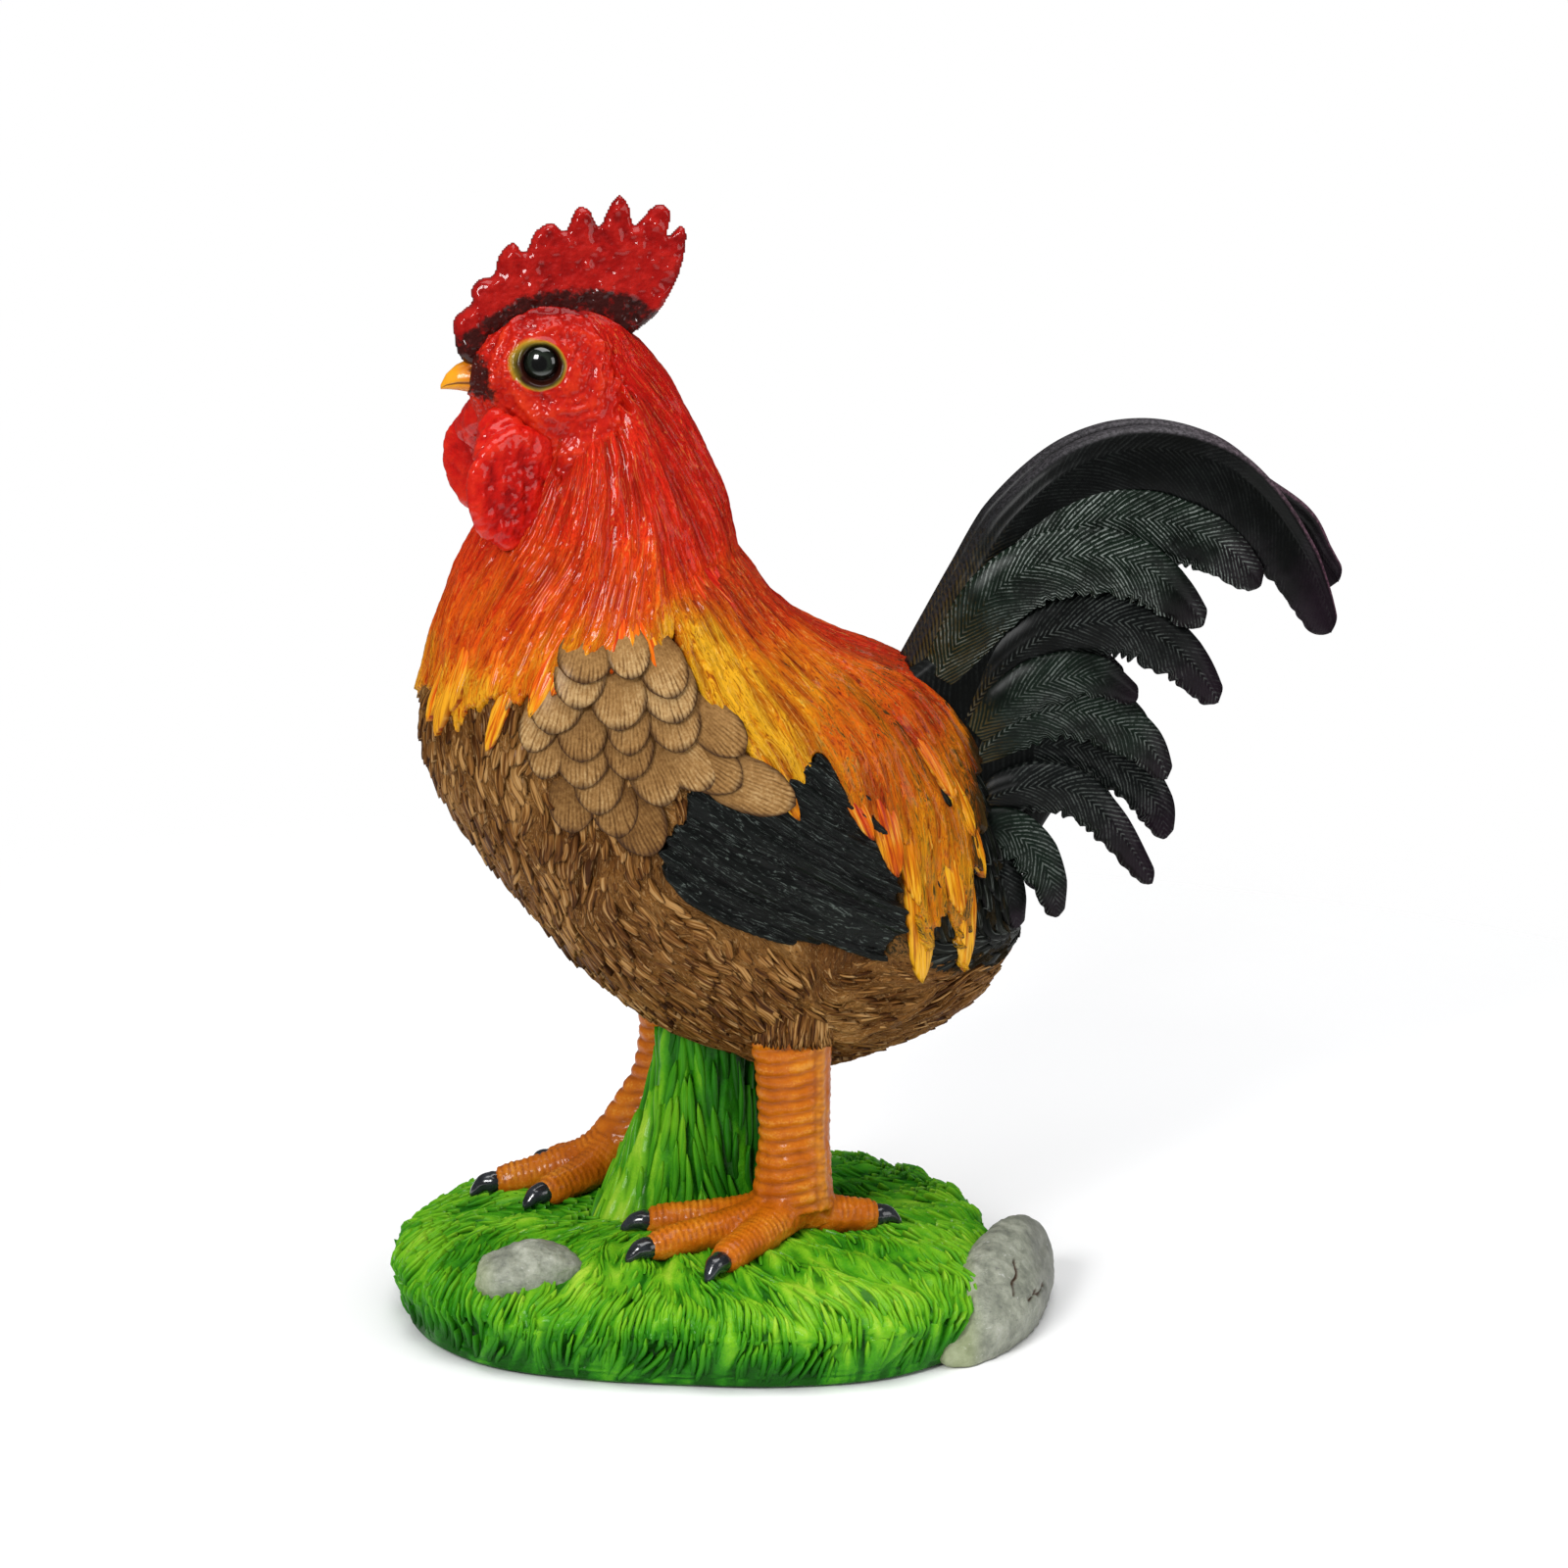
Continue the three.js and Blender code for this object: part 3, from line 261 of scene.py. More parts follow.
def strips(skin, roots, flow, length, half, outline, rise, steps=8, cols=5, keep=None, sink=-0.6, ribs=0.0, wide=False):
    """Lay one tapering strip from each root along the flow.

    outline gives the half width's share along the strip, rise the height at its root and tip, the
    crown of its section and a random part. keep(points) says where a strip may reach.
    """
    count = len(roots)
    length = np.broadcast_to(np.asarray(length, float), count).copy()
    half = np.broadcast_to(np.asarray(half, float), count).copy()
    if keep is not None:
        place, normal = skin.onto(roots)
        reach = np.zeros(count)
        going = np.ones(count, bool)
        tests = 10
        for _ in range(tests):
            place, normal = skin.onto(place + skin.across(flow, place, normal) * (length / tests)[:, None])
            going &= keep(place)
            reach += going
        trimmed = length * reach / tests * chance.uniform(0.88, 1.08, count)
        good = trimmed > 0.3 * length
        roots, length, half = roots[good], trimmed[good], (half * (0.6 + 0.4 * trimmed / length))[good]
        count = len(roots)
    place, normal = skin.onto(roots)
    centre, up, way = [], [], []
    for _ in range(steps + 1):
        heading = skin.across(flow, place, normal)
        centre.append(place)
        up.append(normal)
        way.append(heading)
        place, normal = skin.onto(place + heading * (length / steps)[:, None])
    centre, up, way = (np.stack(part, axis=1) for part in (centre, up, way))
    side = np.cross(way, up)
    s = np.linspace(0, 1, steps + 1)
    t = np.linspace(-1, 1, cols)
    t_skirted = np.concatenate([[-1], t, [1]])
    width = half[:, None] * np.interp(s, *outline)
    spots = centre[:, :, None] + side[:, :, None] * (width[:, :, None] * t_skirted)[..., None]
    lift = np.repeat(up[:, :, None], len(t_skirted), axis=2)
    if wide:
        spots, lift = skin.onto(spots)
    root_rise, tip_rise, crown, stray = rise
    luck = chance.uniform(-1, 1, (count, 1, 1)) * stray
    height = (root_rise + (tip_rise - root_rise) * s[:, None] ** 0.8) + luck * s[:, None] \
        + crown * (1 - t_skirted ** 2) * np.sqrt(np.interp(s, *outline))[:, None]
    if ribs:
        twist = chance.uniform(0, 6.28, (count, 1, 1))
        height = height + ribs * np.cos(t_skirted * 7 + twist + s[:, None] * 2) * np.interp(s, [0, 0.2, 1], [0, 1, 0.6])[:, None]
    height[:, :, 0] = sink
    height[:, :, -1] = sink
    points = spots + lift * height[..., None]
    end = spots[:, -1:] + lift[:, -1:] * sink
    points = np.concatenate([points, end], axis=1)
    rows, width_count = steps + 2, len(t_skirted)
    edge = np.minimum(1 - np.abs(t_skirted), (1 - s)[:, None] * (length / half)[:, None, None] * 0.7)
    edge[:, :, 0] = edge[:, :, -1] = -0.5
    edge = np.concatenate([edge, np.full((count, 1, width_count), -0.5)], axis=1)
    s_all = np.append(s, 1)
    fate = chance.uniform(0, 1, (count, 1, 1))
    lie = np.stack(np.broadcast_arrays(
        s_all[:, None] * length[:, None, None] * MM,
        np.concatenate([width, width[:, -1:]], axis=1)[:, :, None] * t_skirted * MM,
        fate), axis=-1)
    grid = lattice(rows, width_count)
    faces = (grid[None] + np.arange(count)[:, None, None] * rows * width_count).reshape(-1, 4)
    flat = points.reshape(-1, 3)
    a, b, c = (flat[faces[:, k]] for k in range(3))
    facing = (np.cross(b - a, c - a) * np.repeat(up[:, 0], len(grid), axis=0)).sum()
    if facing < 0:
        faces = faces[:, ::-1]
    return {
        "points": flat, "faces": faces, "lie": lie.reshape(-1, 3), "edge": edge.ravel(),
        "s": np.broadcast_to(s_all[:, None], (count, rows, width_count)).ravel(),
        "fate": np.broadcast_to(fate, (count, rows, width_count)).ravel(),
    }


def together(*layers):
    """Several strip layers as one."""
    start = 0
    faces = []
    for layer in layers:
        faces.append(layer["faces"] + start)
        start += len(layer["points"])
    merged = {key: np.concatenate([layer[key] for layer in layers]) for key in layers[0] if key != "faces"}
    return {**merged, "faces": np.concatenate(faces)}


def mirrored(layer):
    """The same strips on the bird's other side."""
    return {**layer, "points": layer["points"] * [1, -1, 1], "faces": layer["faces"][:, ::-1]}


def laid(name, layer, paint, nodes, heat=None):
    value = np.zeros(len(layer["points"])) if heat is None else heat
    marks = np.stack([layer["edge"], value, layer["s"]], axis=-1)
    return piece(name, layer["points"], layer["faces"], paint, nodes, layer["lie"], marks)


def samples(skin_points, faces, count, seed):
    """Places spread evenly over a surface's quads, with the way out of each."""
    quads = faces[0]
    a, b, d = skin_points[quads[:, 0]], skin_points[quads[:, 1]], skin_points[quads[:, 3]]
    normal = np.cross(b - a, d - a)
    area = np.linalg.norm(normal, axis=1)
    luck = np.random.default_rng(seed)
    pick = luck.choice(len(quads), count, p=area / area.sum())
    u, v = luck.random((2, count, 1))
    return a[pick] + (b - a)[pick] * u + (d - a)[pick] * v, unit(normal[pick])


REACH = np.array([1, 1.05, 1.08, 1.06, 1.03, 1, 1, 1.02, 1.025, 1.025, 1.045, 1.04, 0.985, 0.975, 1.05, 1.14, 1.13, 1.04])


def mound_reach(angle):
    """How far the rim reaches, as a share of the oval."""
    place = angle / (2 * np.pi) % 1 * len(REACH)
    k = place.astype(int)
    f = place - k
    a, b, c, d = (REACH[(k + step) % len(REACH)] for step in (-1, 0, 1, 2))
    return 0.5 * (2 * b + (c - a) * f + (2 * a - 5 * b + 4 * c - d) * f ** 2 + (3 * b - a - 3 * c + d) * f ** 3)


def dome(share):
    return 17 + 18 * np.sqrt(np.maximum(0, 1 - np.minimum(share, 1) ** 3))


def ground(x, y):
    """Height of the dome above the floor."""
    return dome(np.hypot(x / 103, y / 95) / mound_reach(np.arctan2(y / 95, x / 103)))


def mound_rings(rows, sides, tuft_rise=1.2):
    """Rings of the mound from its underside up over the skirt to the top, with swirled tufts."""
    angle = np.linspace(0, 2 * np.pi, sides, endpoint=False)
    shares = np.concatenate([[0.35, 0.7, 0.95, 0.965], np.linspace(0.97, 1, rows // 4), np.cos(np.linspace(0.03, 1.55, rows))])
    heights = np.concatenate([[0, 0, 0, 0.6], np.linspace(1.2, 17, rows // 4), dome(np.cos(np.linspace(0.03, 1.55, rows)))])
    turn = np.arccos(np.clip(shares, 0, 1)) / (np.pi / 2) * 6
    crest = np.cos(24 * angle + np.pi * turn[:, None]) * ease(0.25, 0.6, shares)[:, None] * ease(0, 8, heights)[:, None]
    rise = tuft_rise * crest
    reach = shares[:, None] * mound_reach(angle)
    out = rise * shares[:, None]
    return np.stack([(103 * reach + out) * np.cos(angle), (95 * reach + out) * np.sin(angle),
                     heights[:, None] + rise * np.sqrt(1 - shares ** 2)[:, None]], axis=-1)


def combed(rings, normals, flow, size, reach, seed, closed=True):
    """Noise over a grid of points, drawn out along the flow into strands, with a spread of about 1."""
    heading = flow(rings)
    heading = unit(heading - normals * (heading * normals).sum(axis=-1, keepdims=True))
    down = np.gradient(rings, axis=0)
    across = (np.roll(rings, -1, axis=1) - np.roll(rings, 1, axis=1)) / 2 if closed else np.gradient(rings, axis=1)
    dd, da, aa = (down ** 2).sum(axis=-1), (down * across).sum(axis=-1), (across ** 2).sum(axis=-1)
    hd, ha = (heading * down).sum(axis=-1), (heading * across).sum(axis=-1)
    area = np.maximum(dd * aa - da ** 2, 1e-6)
    rows_per_mm = np.clip((hd * aa - ha * da) / area, -20, 20)
    columns_per_mm = np.clip((ha * dd - hd * da) / area, -20, 20)
    rows, columns = rings.shape[:2]
    row, column = np.meshgrid(np.arange(rows), np.arange(columns), indexing="ij")

    def carried(value, distance):
        """The value that far along the flow from each grid point."""
        r = np.clip(row + rows_per_mm * distance, 0, rows - 1.001)
        c = column + columns_per_mm * distance
        c = c % columns if closed else np.clip(c, 0, columns - 1.001)
        i, j = r.astype(int), c.astype(int)
        r, c = r - i, c - j
        j, k = j % columns, (j + 1) % columns
        return (value[i, j] * (1 - c) + value[i, k] * c) * (1 - r) + (value[i + 1, j] * (1 - c) + value[i + 1, k] * c) * r

    value = lumps(rings, size, seed, 1)
    distance = size * 0.45
    while distance < reach * 0.6:
        value = (value + carried(value, distance) + carried(value, -distance)) / 3
        distance *= 1.9
    return np.clip((value - value.mean()) / value.std(), -2.4, 2.4)


def ring_normals(rings, closed):
    """Ways out of a grid of points."""
    if closed:
        wide = np.concatenate([rings[:, -1:], rings, rings[:, :1]], axis=1)
        across = (wide[:, 2:] - wide[:, :-2])
    else:
        across = np.gradient(rings, axis=1)
    out = unit(np.cross(np.gradient(rings, axis=0), across))
    middle = rings.mean(axis=1, keepdims=True)
    return out * np.sign((out * (rings - middle)).sum(axis=-1).mean())


GREENS = [(0.0, (0.006, 0.075, 0.002)), (0.25, (0.018, 0.17, 0.004)), (0.5, (0.06, 0.29, 0.006)),
          (0.75, (0.17, 0.44, 0.012)), (1.0, (0.36, 0.58, 0.04))]


def grass_paint(name):
    """Greens over combed grass: light on the ridges, dark between them."""
    paint = Paint(name, Coat_Weight=0.12, Coat_Roughness=0.15, Specular_IOR_Level=0.06)
    lie, (fine, coarse, fate) = paint.vector("lie")
    marks, (edge, heat, s) = paint.vector("marks")
    where = paint.place()
    patch = paint.noise(where, 26, 3, 0.6)
    speck = paint.noise(where, 900, 3, 0.65)
    value = heat + fine * 0.13 + coarse * 0.09 + (fate - 0.5) * 0.25 + (patch - 0.5) * 0.75 + (speck - 0.5) * 0.25
    colour = paint.ramp(value, *GREENS)
    dark = (1 - fine.step(-1.7, -0.4)) * 0.6 + (1 - edge.step(-0.3, 0.3)) * 0.6
    colour = paint.mix(dark.maths("MINIMUM", dark, 0.85), colour, (0.006, 0.06, 0.002))
    return paint.finish(Base_Color=colour, Roughness=0.4 + (speck - 0.5) * 0.3, Normal=paint.bump(speck, 0.0005, 0.7))


def uphill(points):
    """Grass on the skirt combs upwards with a sway; on top it turns about the middle."""
    out = unit(points * [1 / 103, 1 / 95, 0] + [1e-6, 0, 0])
    round_way = np.stack([-out[..., 1], out[..., 0], np.zeros(out.shape[:-1])], axis=-1)
    sway = lumps(points, (26, 26, 26), 21, 2)[..., None]
    return round_way * (0.15 + 1.1 * sway) - out * 0.8 + np.array([0, 0, 1.7])


def turf_heat_and_shade(points):
    """Yellower on the front of the top; darker green where shade is painted, behind the feet under the bird and down
    the skirt under the rim.
    """
    x, y, z = points[..., 0], points[..., 1], points[..., 2]
    # Painted shade: darker down the skirt under the rim and in a patch under the bird.
    return 0.5 + 0.09 * ease(20, -80, y) - 0.34 * ease(28, 8, z) - 0.12 * np.exp(-((x - 40) / 40) ** 2 - ((y - 10) / 45) ** 2) \
        + 0.12 * lumps(points, 26, 41)


grass = grass_paint("combed_grass")
coarse_rings = mound_rings(24, 160)
mound_points, mound_faces = tube(coarse_rings)
mound_skin = Skin(mound_points, mound_faces)
fine_rings = mound_rings(120, 560)
out = ring_normals(fine_rings, True)
coarse = combed(fine_rings, out, uphill, 5.0, 13, 3)
fine = combed(fine_rings, out, uphill, 1.4, 8, 4)
stand = ease(1.0, 7, fine_rings[..., 2]) * (0.75 + 0.45 * ease(26, 18, fine_rings[..., 2]))
fine_rings = fine_rings + out * (stand * (0.55 * coarse + 0.5 * fine))[..., None]
turf_points, turf_faces = tube(fine_rings)
pad = np.zeros((2, 3))
turf_lie = np.concatenate([np.stack([fine, coarse, 0.5 + 0 * fine], axis=-1).reshape(-1, 3), pad])
turf_marks = np.stack([np.ones(len(turf_points)), turf_heat_and_shade(turf_points) - 0.08, 0 * turf_points[:, 0]], axis=-1)
piece("mound_turf", turf_points, turf_faces, grass, "base_mound", turf_lie, turf_marks)


def blade_paint(name):
    """Single blades: dark at their roots and edges, light along the middle."""
    paint = Paint(name, Coat_Weight=0.12, Coat_Roughness=0.15, Specular_IOR_Level=0.06)
    lie, (along, across, fate) = paint.vector("lie")
    marks, (edge, heat, s) = paint.vector("marks")
    streak = paint.noise(lie, 1, 2, 0.5, (120, 1500, 40))
    patch = paint.noise(paint.place(), 26, 3, 0.6)
    value = heat + (s - 0.5) * 0.3 + (fate - 0.5) * 0.22 + (streak - 0.5) * 0.4 + (patch - 0.5) * 0.7
    colour = paint.ramp(value, *GREENS)
    colour = paint.mix((1 - edge.step(-0.4, 0.2)) * 0.6, colour, (0.008, 0.08, 0.002))
    return paint.finish(Base_Color=colour, Roughness=0.36 + streak * 0.2, Normal=paint.bump(streak, 0.0005, 0.6))


blade_green = blade_paint("grass_blade")


def blades(count, seed, keep, along, across, limit, length, half, rise):
    spots, out = samples(mound_points, mound_faces, count, seed)
    fits = keep(spots)
    spots, out = spots[fits], out[fits]
    heading = mound_skin.across(uphill, spots, out)
    chosen = scattered(spots, out, heading, along, across, limit, seed)
    roots = spots[chosen]
    n = len(roots)
    luck = np.random.default_rng(seed + 1)
    return strips(mound_skin, roots, uphill, length * luck.uniform(0.6, 1.3, n), half * luck.uniform(0.7, 1.3, n),
                  ([0, 0.15, 0.6, 0.9, 1], [0.55, 0.9, 1, 0.5, 0.08]), rise, steps=7, cols=3)


def on_skirt(p):
    return (np.hypot(p[:, 0] / 103, p[:, 1] / 95) > 0.9) & (p[:, 2] > 1.2) & (p[:, 2] < 24)


def on_top(p):
    return (np.hypot(p[:, 0] / 103, p[:, 1] / 95) < 1.02) & (p[:, 2] > 19)


skirt = blades(20000, 31, on_skirt, 8, 1.9, 1150, 14, 0.85, (-0.3, 1.8, 0.5, 0.6))
lawn = blades(20000, 37, on_top, 6, 2.0, 1500, 8, 0.6, (-0.4, 1.2, 0.35, 0.4))
turf = together(skirt, lawn)
laid("mound_blades", turf, blade_green, "base_mound", turf_heat_and_shade(turf["points"]))

# Grass post.
# A column of taller grass cast between the mound and the belly, which carries the bird's
# weight. Long blades run up it, with painted shade on its rear side under the bird and
# towards the top under the belly.
POST = np.array([[14, 0, 50, 33], [20, 0, 46, 30], [34, -1, 35, 24], [50, -1, 26.5, 19], [68, 1.5, 20.5, 15.5],
                 [88, 3, 17, 13.5], [108, 4, 16.5, 13.5], [126, 4, 17, 14]])
post_sides = 260
levels = np.linspace(14, 126, 170)
post_angle = np.linspace(0, 2 * np.pi, post_sides, endpoint=False)
middle, half_x, half_y = (np.interp(levels, POST[:, 0], POST[:, k])[:, None] for k in (1, 2, 3))
tuft = 1 + 0.05 * np.sin(5 * post_angle + levels[:, None] * 0.09)
post_rings = np.stack([middle + half_x * tuft * np.cos(post_angle), half_y * tuft * np.sin(post_angle),
                       np.repeat(levels[:, None], post_sides, axis=1)], axis=-1)
post_points, post_faces = tube(post_rings[::4, ::3])
post_skin = Skin(post_points, post_faces)


def upwards(points):
    sway = lumps(points, (15, 15, 30), 51, 2)
    lean = 0.55 * ease(60, 25, points[..., 2])
    return np.stack([0.35 * sway - lean * np.sign(points[..., 0]), 0.35 * lumps(points, (15, 15, 30), 52) - lean * np.sign(points[..., 1]),
                     np.ones(points.shape[:-1])], axis=-1)


def post_heat_and_shade(points):
    # Painted shade: darker on the rear side and near the top under the belly.
    return 0.52 - 0.3 * ease(-6, 16, points[..., 0]) - 0.3 * ease(62, 105, points[..., 2])


out = ring_normals(post_rings, True)
coarse = combed(post_rings, out, upwards, 6, 20, 55)
fine = combed(post_rings, out, upwards, 1.8, 11, 56)
points, faces = tube(post_rings + out * (0.6 * coarse + 0.45 * fine)[..., None])
post_lie = np.concatenate([np.stack([fine, coarse, 0.5 + 0 * fine], axis=-1).reshape(-1, 3), pad])
post_marks = np.stack([np.ones(len(points)), post_heat_and_shade(points), 0 * points[:, 0]], axis=-1)
piece("post_core", points, faces, grass, "grass_post", post_lie, post_marks)
spots, out = samples(post_points, post_faces, 9000, 53)
heading = post_skin.across(upwards, spots, out)
chosen = scattered(spots, out, heading, 16, 3.0, 380, 54)
n = len(chosen)
tall = strips(post_skin, spots[chosen], upwards, 24 * chance.uniform(0.7, 1.2, n), 1.3 * chance.uniform(0.8, 1.3, n),
              ([0, 0.2, 0.6, 0.9, 1], [0.5, 0.9, 1, 0.5, 0.08]), (-0.4, 1.6, 0.5, 0.6), steps=7, cols=3)
laid("post_blades", tall, blade_green, "grass_post", post_heat_and_shade(tall["points"]))

# Rocks.
# Two cast stones set in the grass: a flat-bedded boulder at the rear edge and a small one by
# the near front. Grey-beige paint with dry-brushed scratches, pits and a few dark cracks.
def rock(name, at, half, yaw, seed, cracks):
    count = 190
    angle = np.linspace(0, 2 * np.pi, count, endpoint=False)
    tilt = np.linspace(0.02, np.pi - 0.02, count // 2)
    ball = np.stack([np.sin(tilt)[:, None] * np.cos(angle), np.sin(tilt)[:, None] * np.sin(angle),
                     np.repeat(np.cos(tilt)[:, None], count, axis=1)], axis=-1)
    x, y, z = ball[..., 0], ball[..., 1], ball[..., 2]
    lump = 1 + 0.07 * np.sin(3.1 * x + seed) * np.cos(2.7 * y - seed) + 0.05 * np.sin(5.3 * z + 4.1 * x + 2 * seed)
    planes = lumps(ball, (0.55, 0.55, 0.55), int(seed * 10), 3) * 0.035
    rings = ball * np.array(half) * (lump + planes)[..., None]
    rings = np.stack([rings[..., 0] * np.cos(yaw) - rings[..., 1] * np.sin(yaw),
                      rings[..., 0] * np.sin(yaw) + rings[..., 1] * np.cos(yaw), rings[..., 2]], axis=-1) + at
    rings += ball * (lumps(rings, (3, 3, 3), 61, 3) * 0.45)[..., None]
    crack = np.zeros(rings.shape[:2])
    for cx, cy, cz, length, lean in cracks:
        gap = rings - [cx, cy, cz]
        along = gap[..., 0] * np.cos(lean) + gap[..., 2] * np.sin(lean)
        aside = -gap[..., 0] * np.sin(lean) + gap[..., 2] * np.cos(lean) + 0.8 * np.sin(along * 1.3)
        crack = np.maximum(crack, np.exp(-(aside / 0.6) ** 2) * ease(length, length * 0.6, np.abs(along)) * (gap[..., 1] < 0.9 * half[1]))
    rings -= ball * (crack * 1.6)[..., None]
    rings[..., 2] = np.maximum(rings[..., 2], 0.05)
    points, faces = tube(rings)
    marks = np.zeros((len(points), 3))
    marks[:-2, 0] = crack.ravel()
    marks[:-2, 1] = (points[:-2, 0] - at[0]) / half[0]
    marks[:-2, 2] = (points[:-2, 2]) / (at[2] + half[2])
    return piece(name + "_stone", points, faces, stone, name, marks=marks)


paint = Paint("painted_stone", Coat_Weight=0.2, Coat_Roughness=0.35, Specular_IOR_Level=0.4)
marks, (crack, across, level) = paint.vector("marks")
where = paint.place()
mottle = paint.noise(where, 130, 6, 0.7)
fine = paint.noise(where, 900, 3, 0.7)
scratch = paint.noise(where, 160, 5, 0.75, (1, 2.5, 3.5))
tone = paint.ramp(mottle, (0.25, (0.09, 0.095, 0.08)), (0.45, (0.22, 0.235, 0.18)), (0.6, (0.34, 0.355, 0.28)),
                  (0.8, (0.52, 0.52, 0.45)))
tone = paint.mix(scratch.step(0.6, 0.72) * 0.6, tone, (0.75, 0.74, 0.72))
tone = paint.mix(scratch.step(0.42, 0.3) * 0.65, tone, (0.09, 0.085, 0.09))
tone = paint.mix(across.step(0.55, 1.0) * 0.4, tone, (0.06, 0.055, 0.06))
tone = paint.mix(across.step(-0.5, -1.0) * 0.45, tone, (0.3, 0.36, 0.12))
tone = paint.mix(crack.step(0.15, 0.7), tone, (0.07, 0.035, 0.015))
height = mottle * 0.6 + fine * 0.25 + scratch * 0.4
stone = paint.finish(Base_Color=tone, Roughness=0.5 + fine * 0.2, Normal=paint.bump(height, 0.0012, 0.8))
rock("rock_large", (99.9, -37, 6), (17.6, 53, 23.6), -0.45, 1.3, [(113, -60, 14, 6, -0.3), (104, -55, 22, 5, 1.0)])
rock("rock_small", (-64.9, -47.5, 28), (19.6, 14.6, 10.8), 0.1, 4.1, [(-60, -58, 27, 3, 0.9)])

# Legs.
# Each leg is one casting, shank, heel and four toes, in orange enamel with a brown wash in the
# grooves: broad scutes down the front of the shank, a beaded seam behind, and rings on the toes.
def curve(points, count):
    """Smooth line through points: the places and headings along it."""
    p = np.asarray(points, float)
    p = np.concatenate([[2 * p[0] - p[1]], p, [2 * p[-1] - p[-2]]])
    t = np.linspace(0, len(p) - 3, count)
    k = np.minimum(t.astype(int), len(p) - 4)
    f = (t - k)[:, None]
    a, b, c, d = p[k], p[k + 1], p[k + 2], p[k + 3]
    place = 0.5 * (2 * b + (c - a) * f + (2 * a - 5 * b + 4 * c - d) * f ** 2 + (3 * b - a - 3 * c + d) * f ** 3)
    slope = 0.5 * ((c - a) + 2 * (2 * a - 5 * b + 4 * c - d) * f + 3 * (3 * b - a - 3 * c + d) * f ** 2)
    return place, unit(slope)


def pipe(points, reach, count, sides, side_axis):
    """Rings of an oval rod along a smooth line; reach gives its two radii at shares of the way."""
    place, tangent = curve(points, count)
    across = unit(np.cross(tangent, side_axis))
    side = np.cross(across, tangent)
    t = np.linspace(0, 1, count)
    angle = np.linspace(0, 2 * np.pi, sides, endpoint=False)
    a = np.interp(t, reach[0], reach[1])[:, None, None]
    b = np.interp(t, reach[0], reach[2])[:, None, None]
    return place[:, None] + across[:, None] * a * np.cos(angle)[:, None] + side[:, None] * b * np.sin(angle)[:, None]


def blended(name, bodies, pitch, rounds):
    """Fuse overlapping closed skins into one and soften the joints."""
    mesh = bpy.data.meshes.new(name)
    start = 0
    points, faces = [], []
    for body_points, body_faces in bodies:
        points.append(body_points)
        faces += [(f + start).tolist() for part in body_faces for f in part]
        start += len(body_points)
    mesh.from_pydata(np.concatenate(points).tolist(), [], faces)
    thing = bpy.data.objects.new(name, mesh)
    bpy.context.scene.collection.objects.link(thing)
    remesh = thing.modifiers.new("fuse", "REMESH")
    remesh.mode = "VOXEL"
    remesh.voxel_size = pitch
    smooth = thing.modifiers.new("soften", "SMOOTH")
    smooth.factor = 0.5
    smooth.iterations = rounds
    done = bpy.data.meshes.new_from_object(thing.evaluated_get(bpy.context.evaluated_depsgraph_get()))
    place = np.empty(len(done.vertices) * 3, np.float32)
    normal = np.empty(len(done.vertices) * 3, np.float32)
    done.vertices.foreach_get("co", place)
    done.vertices.foreach_get("normal", normal)
    quads = np.empty(len(done.loops), np.int32)
    done.loops.foreach_get("vertex_index", quads)
    for old in (thing, ):
        bpy.data.objects.remove(old)
    bpy.data.meshes.remove(mesh)
    bpy.data.meshes.remove(done)
    return place.reshape(-1, 3).astype(float), normal.reshape(-1, 3).astype(float), quads.reshape(-1, 4)


def groove(phase, sharp=7):
    """1 in a narrow groove at each whole number, 0 between."""
    return np.exp(-((phase - np.round(phase)) * sharp) ** 2)


paint = Paint("orange_horn", Coat_Weight=0.3, Coat_Roughness=0.15, Specular_IOR_Level=0.1)
marks, (wash, light, grain) = paint.vector("marks")
where = paint.place()
patch = paint.noise(where, 90, 4, 0.6)
fine = paint.noise(where, 1400, 2, 0.6)
# The light mark is painted light: a painted highlight on the bead row and painted shade on faces that turn down.
skin_tone = paint.ramp(patch + light * 0.5, (0.25, (0.38, 0.078, 0.002)), (0.5, (0.53, 0.13, 0.003)), (0.8, (0.66, 0.22, 0.01)))
skin_tone = paint.mix(wash.step(0.1, 1.0) * 0.75, skin_tone, (0.24, 0.05, 0.002))
skin_tone = paint.mix((fine * 0.6 + patch * 0.6 - wash * 0.5).step(0.58, 0.72) * 0.28, skin_tone, (0.85, 0.42, 0.06))
height = patch * 0.3 + fine * 0.7
horn = paint.finish(Base_Color=skin_tone, Roughness=0.3 + fine * 0.25, Normal=paint.bump(height, 0.0005, 0.6))

paint = Paint("black_claw", Coat_Weight=0.9, Coat_Roughness=0.08, Roughness=0.2)
where = paint.place()
sheen = paint.noise(where, 200, 3, 0.6)
claw_black = paint.finish(Base_Color=paint.ramp(sheen, (0.3, (0.006, 0.007, 0.008)), (0.75, (0.035, 0.04, 0.05))),
                          Normal=paint.bump(sheen, 0.0008, 0.5))


shanks = {}


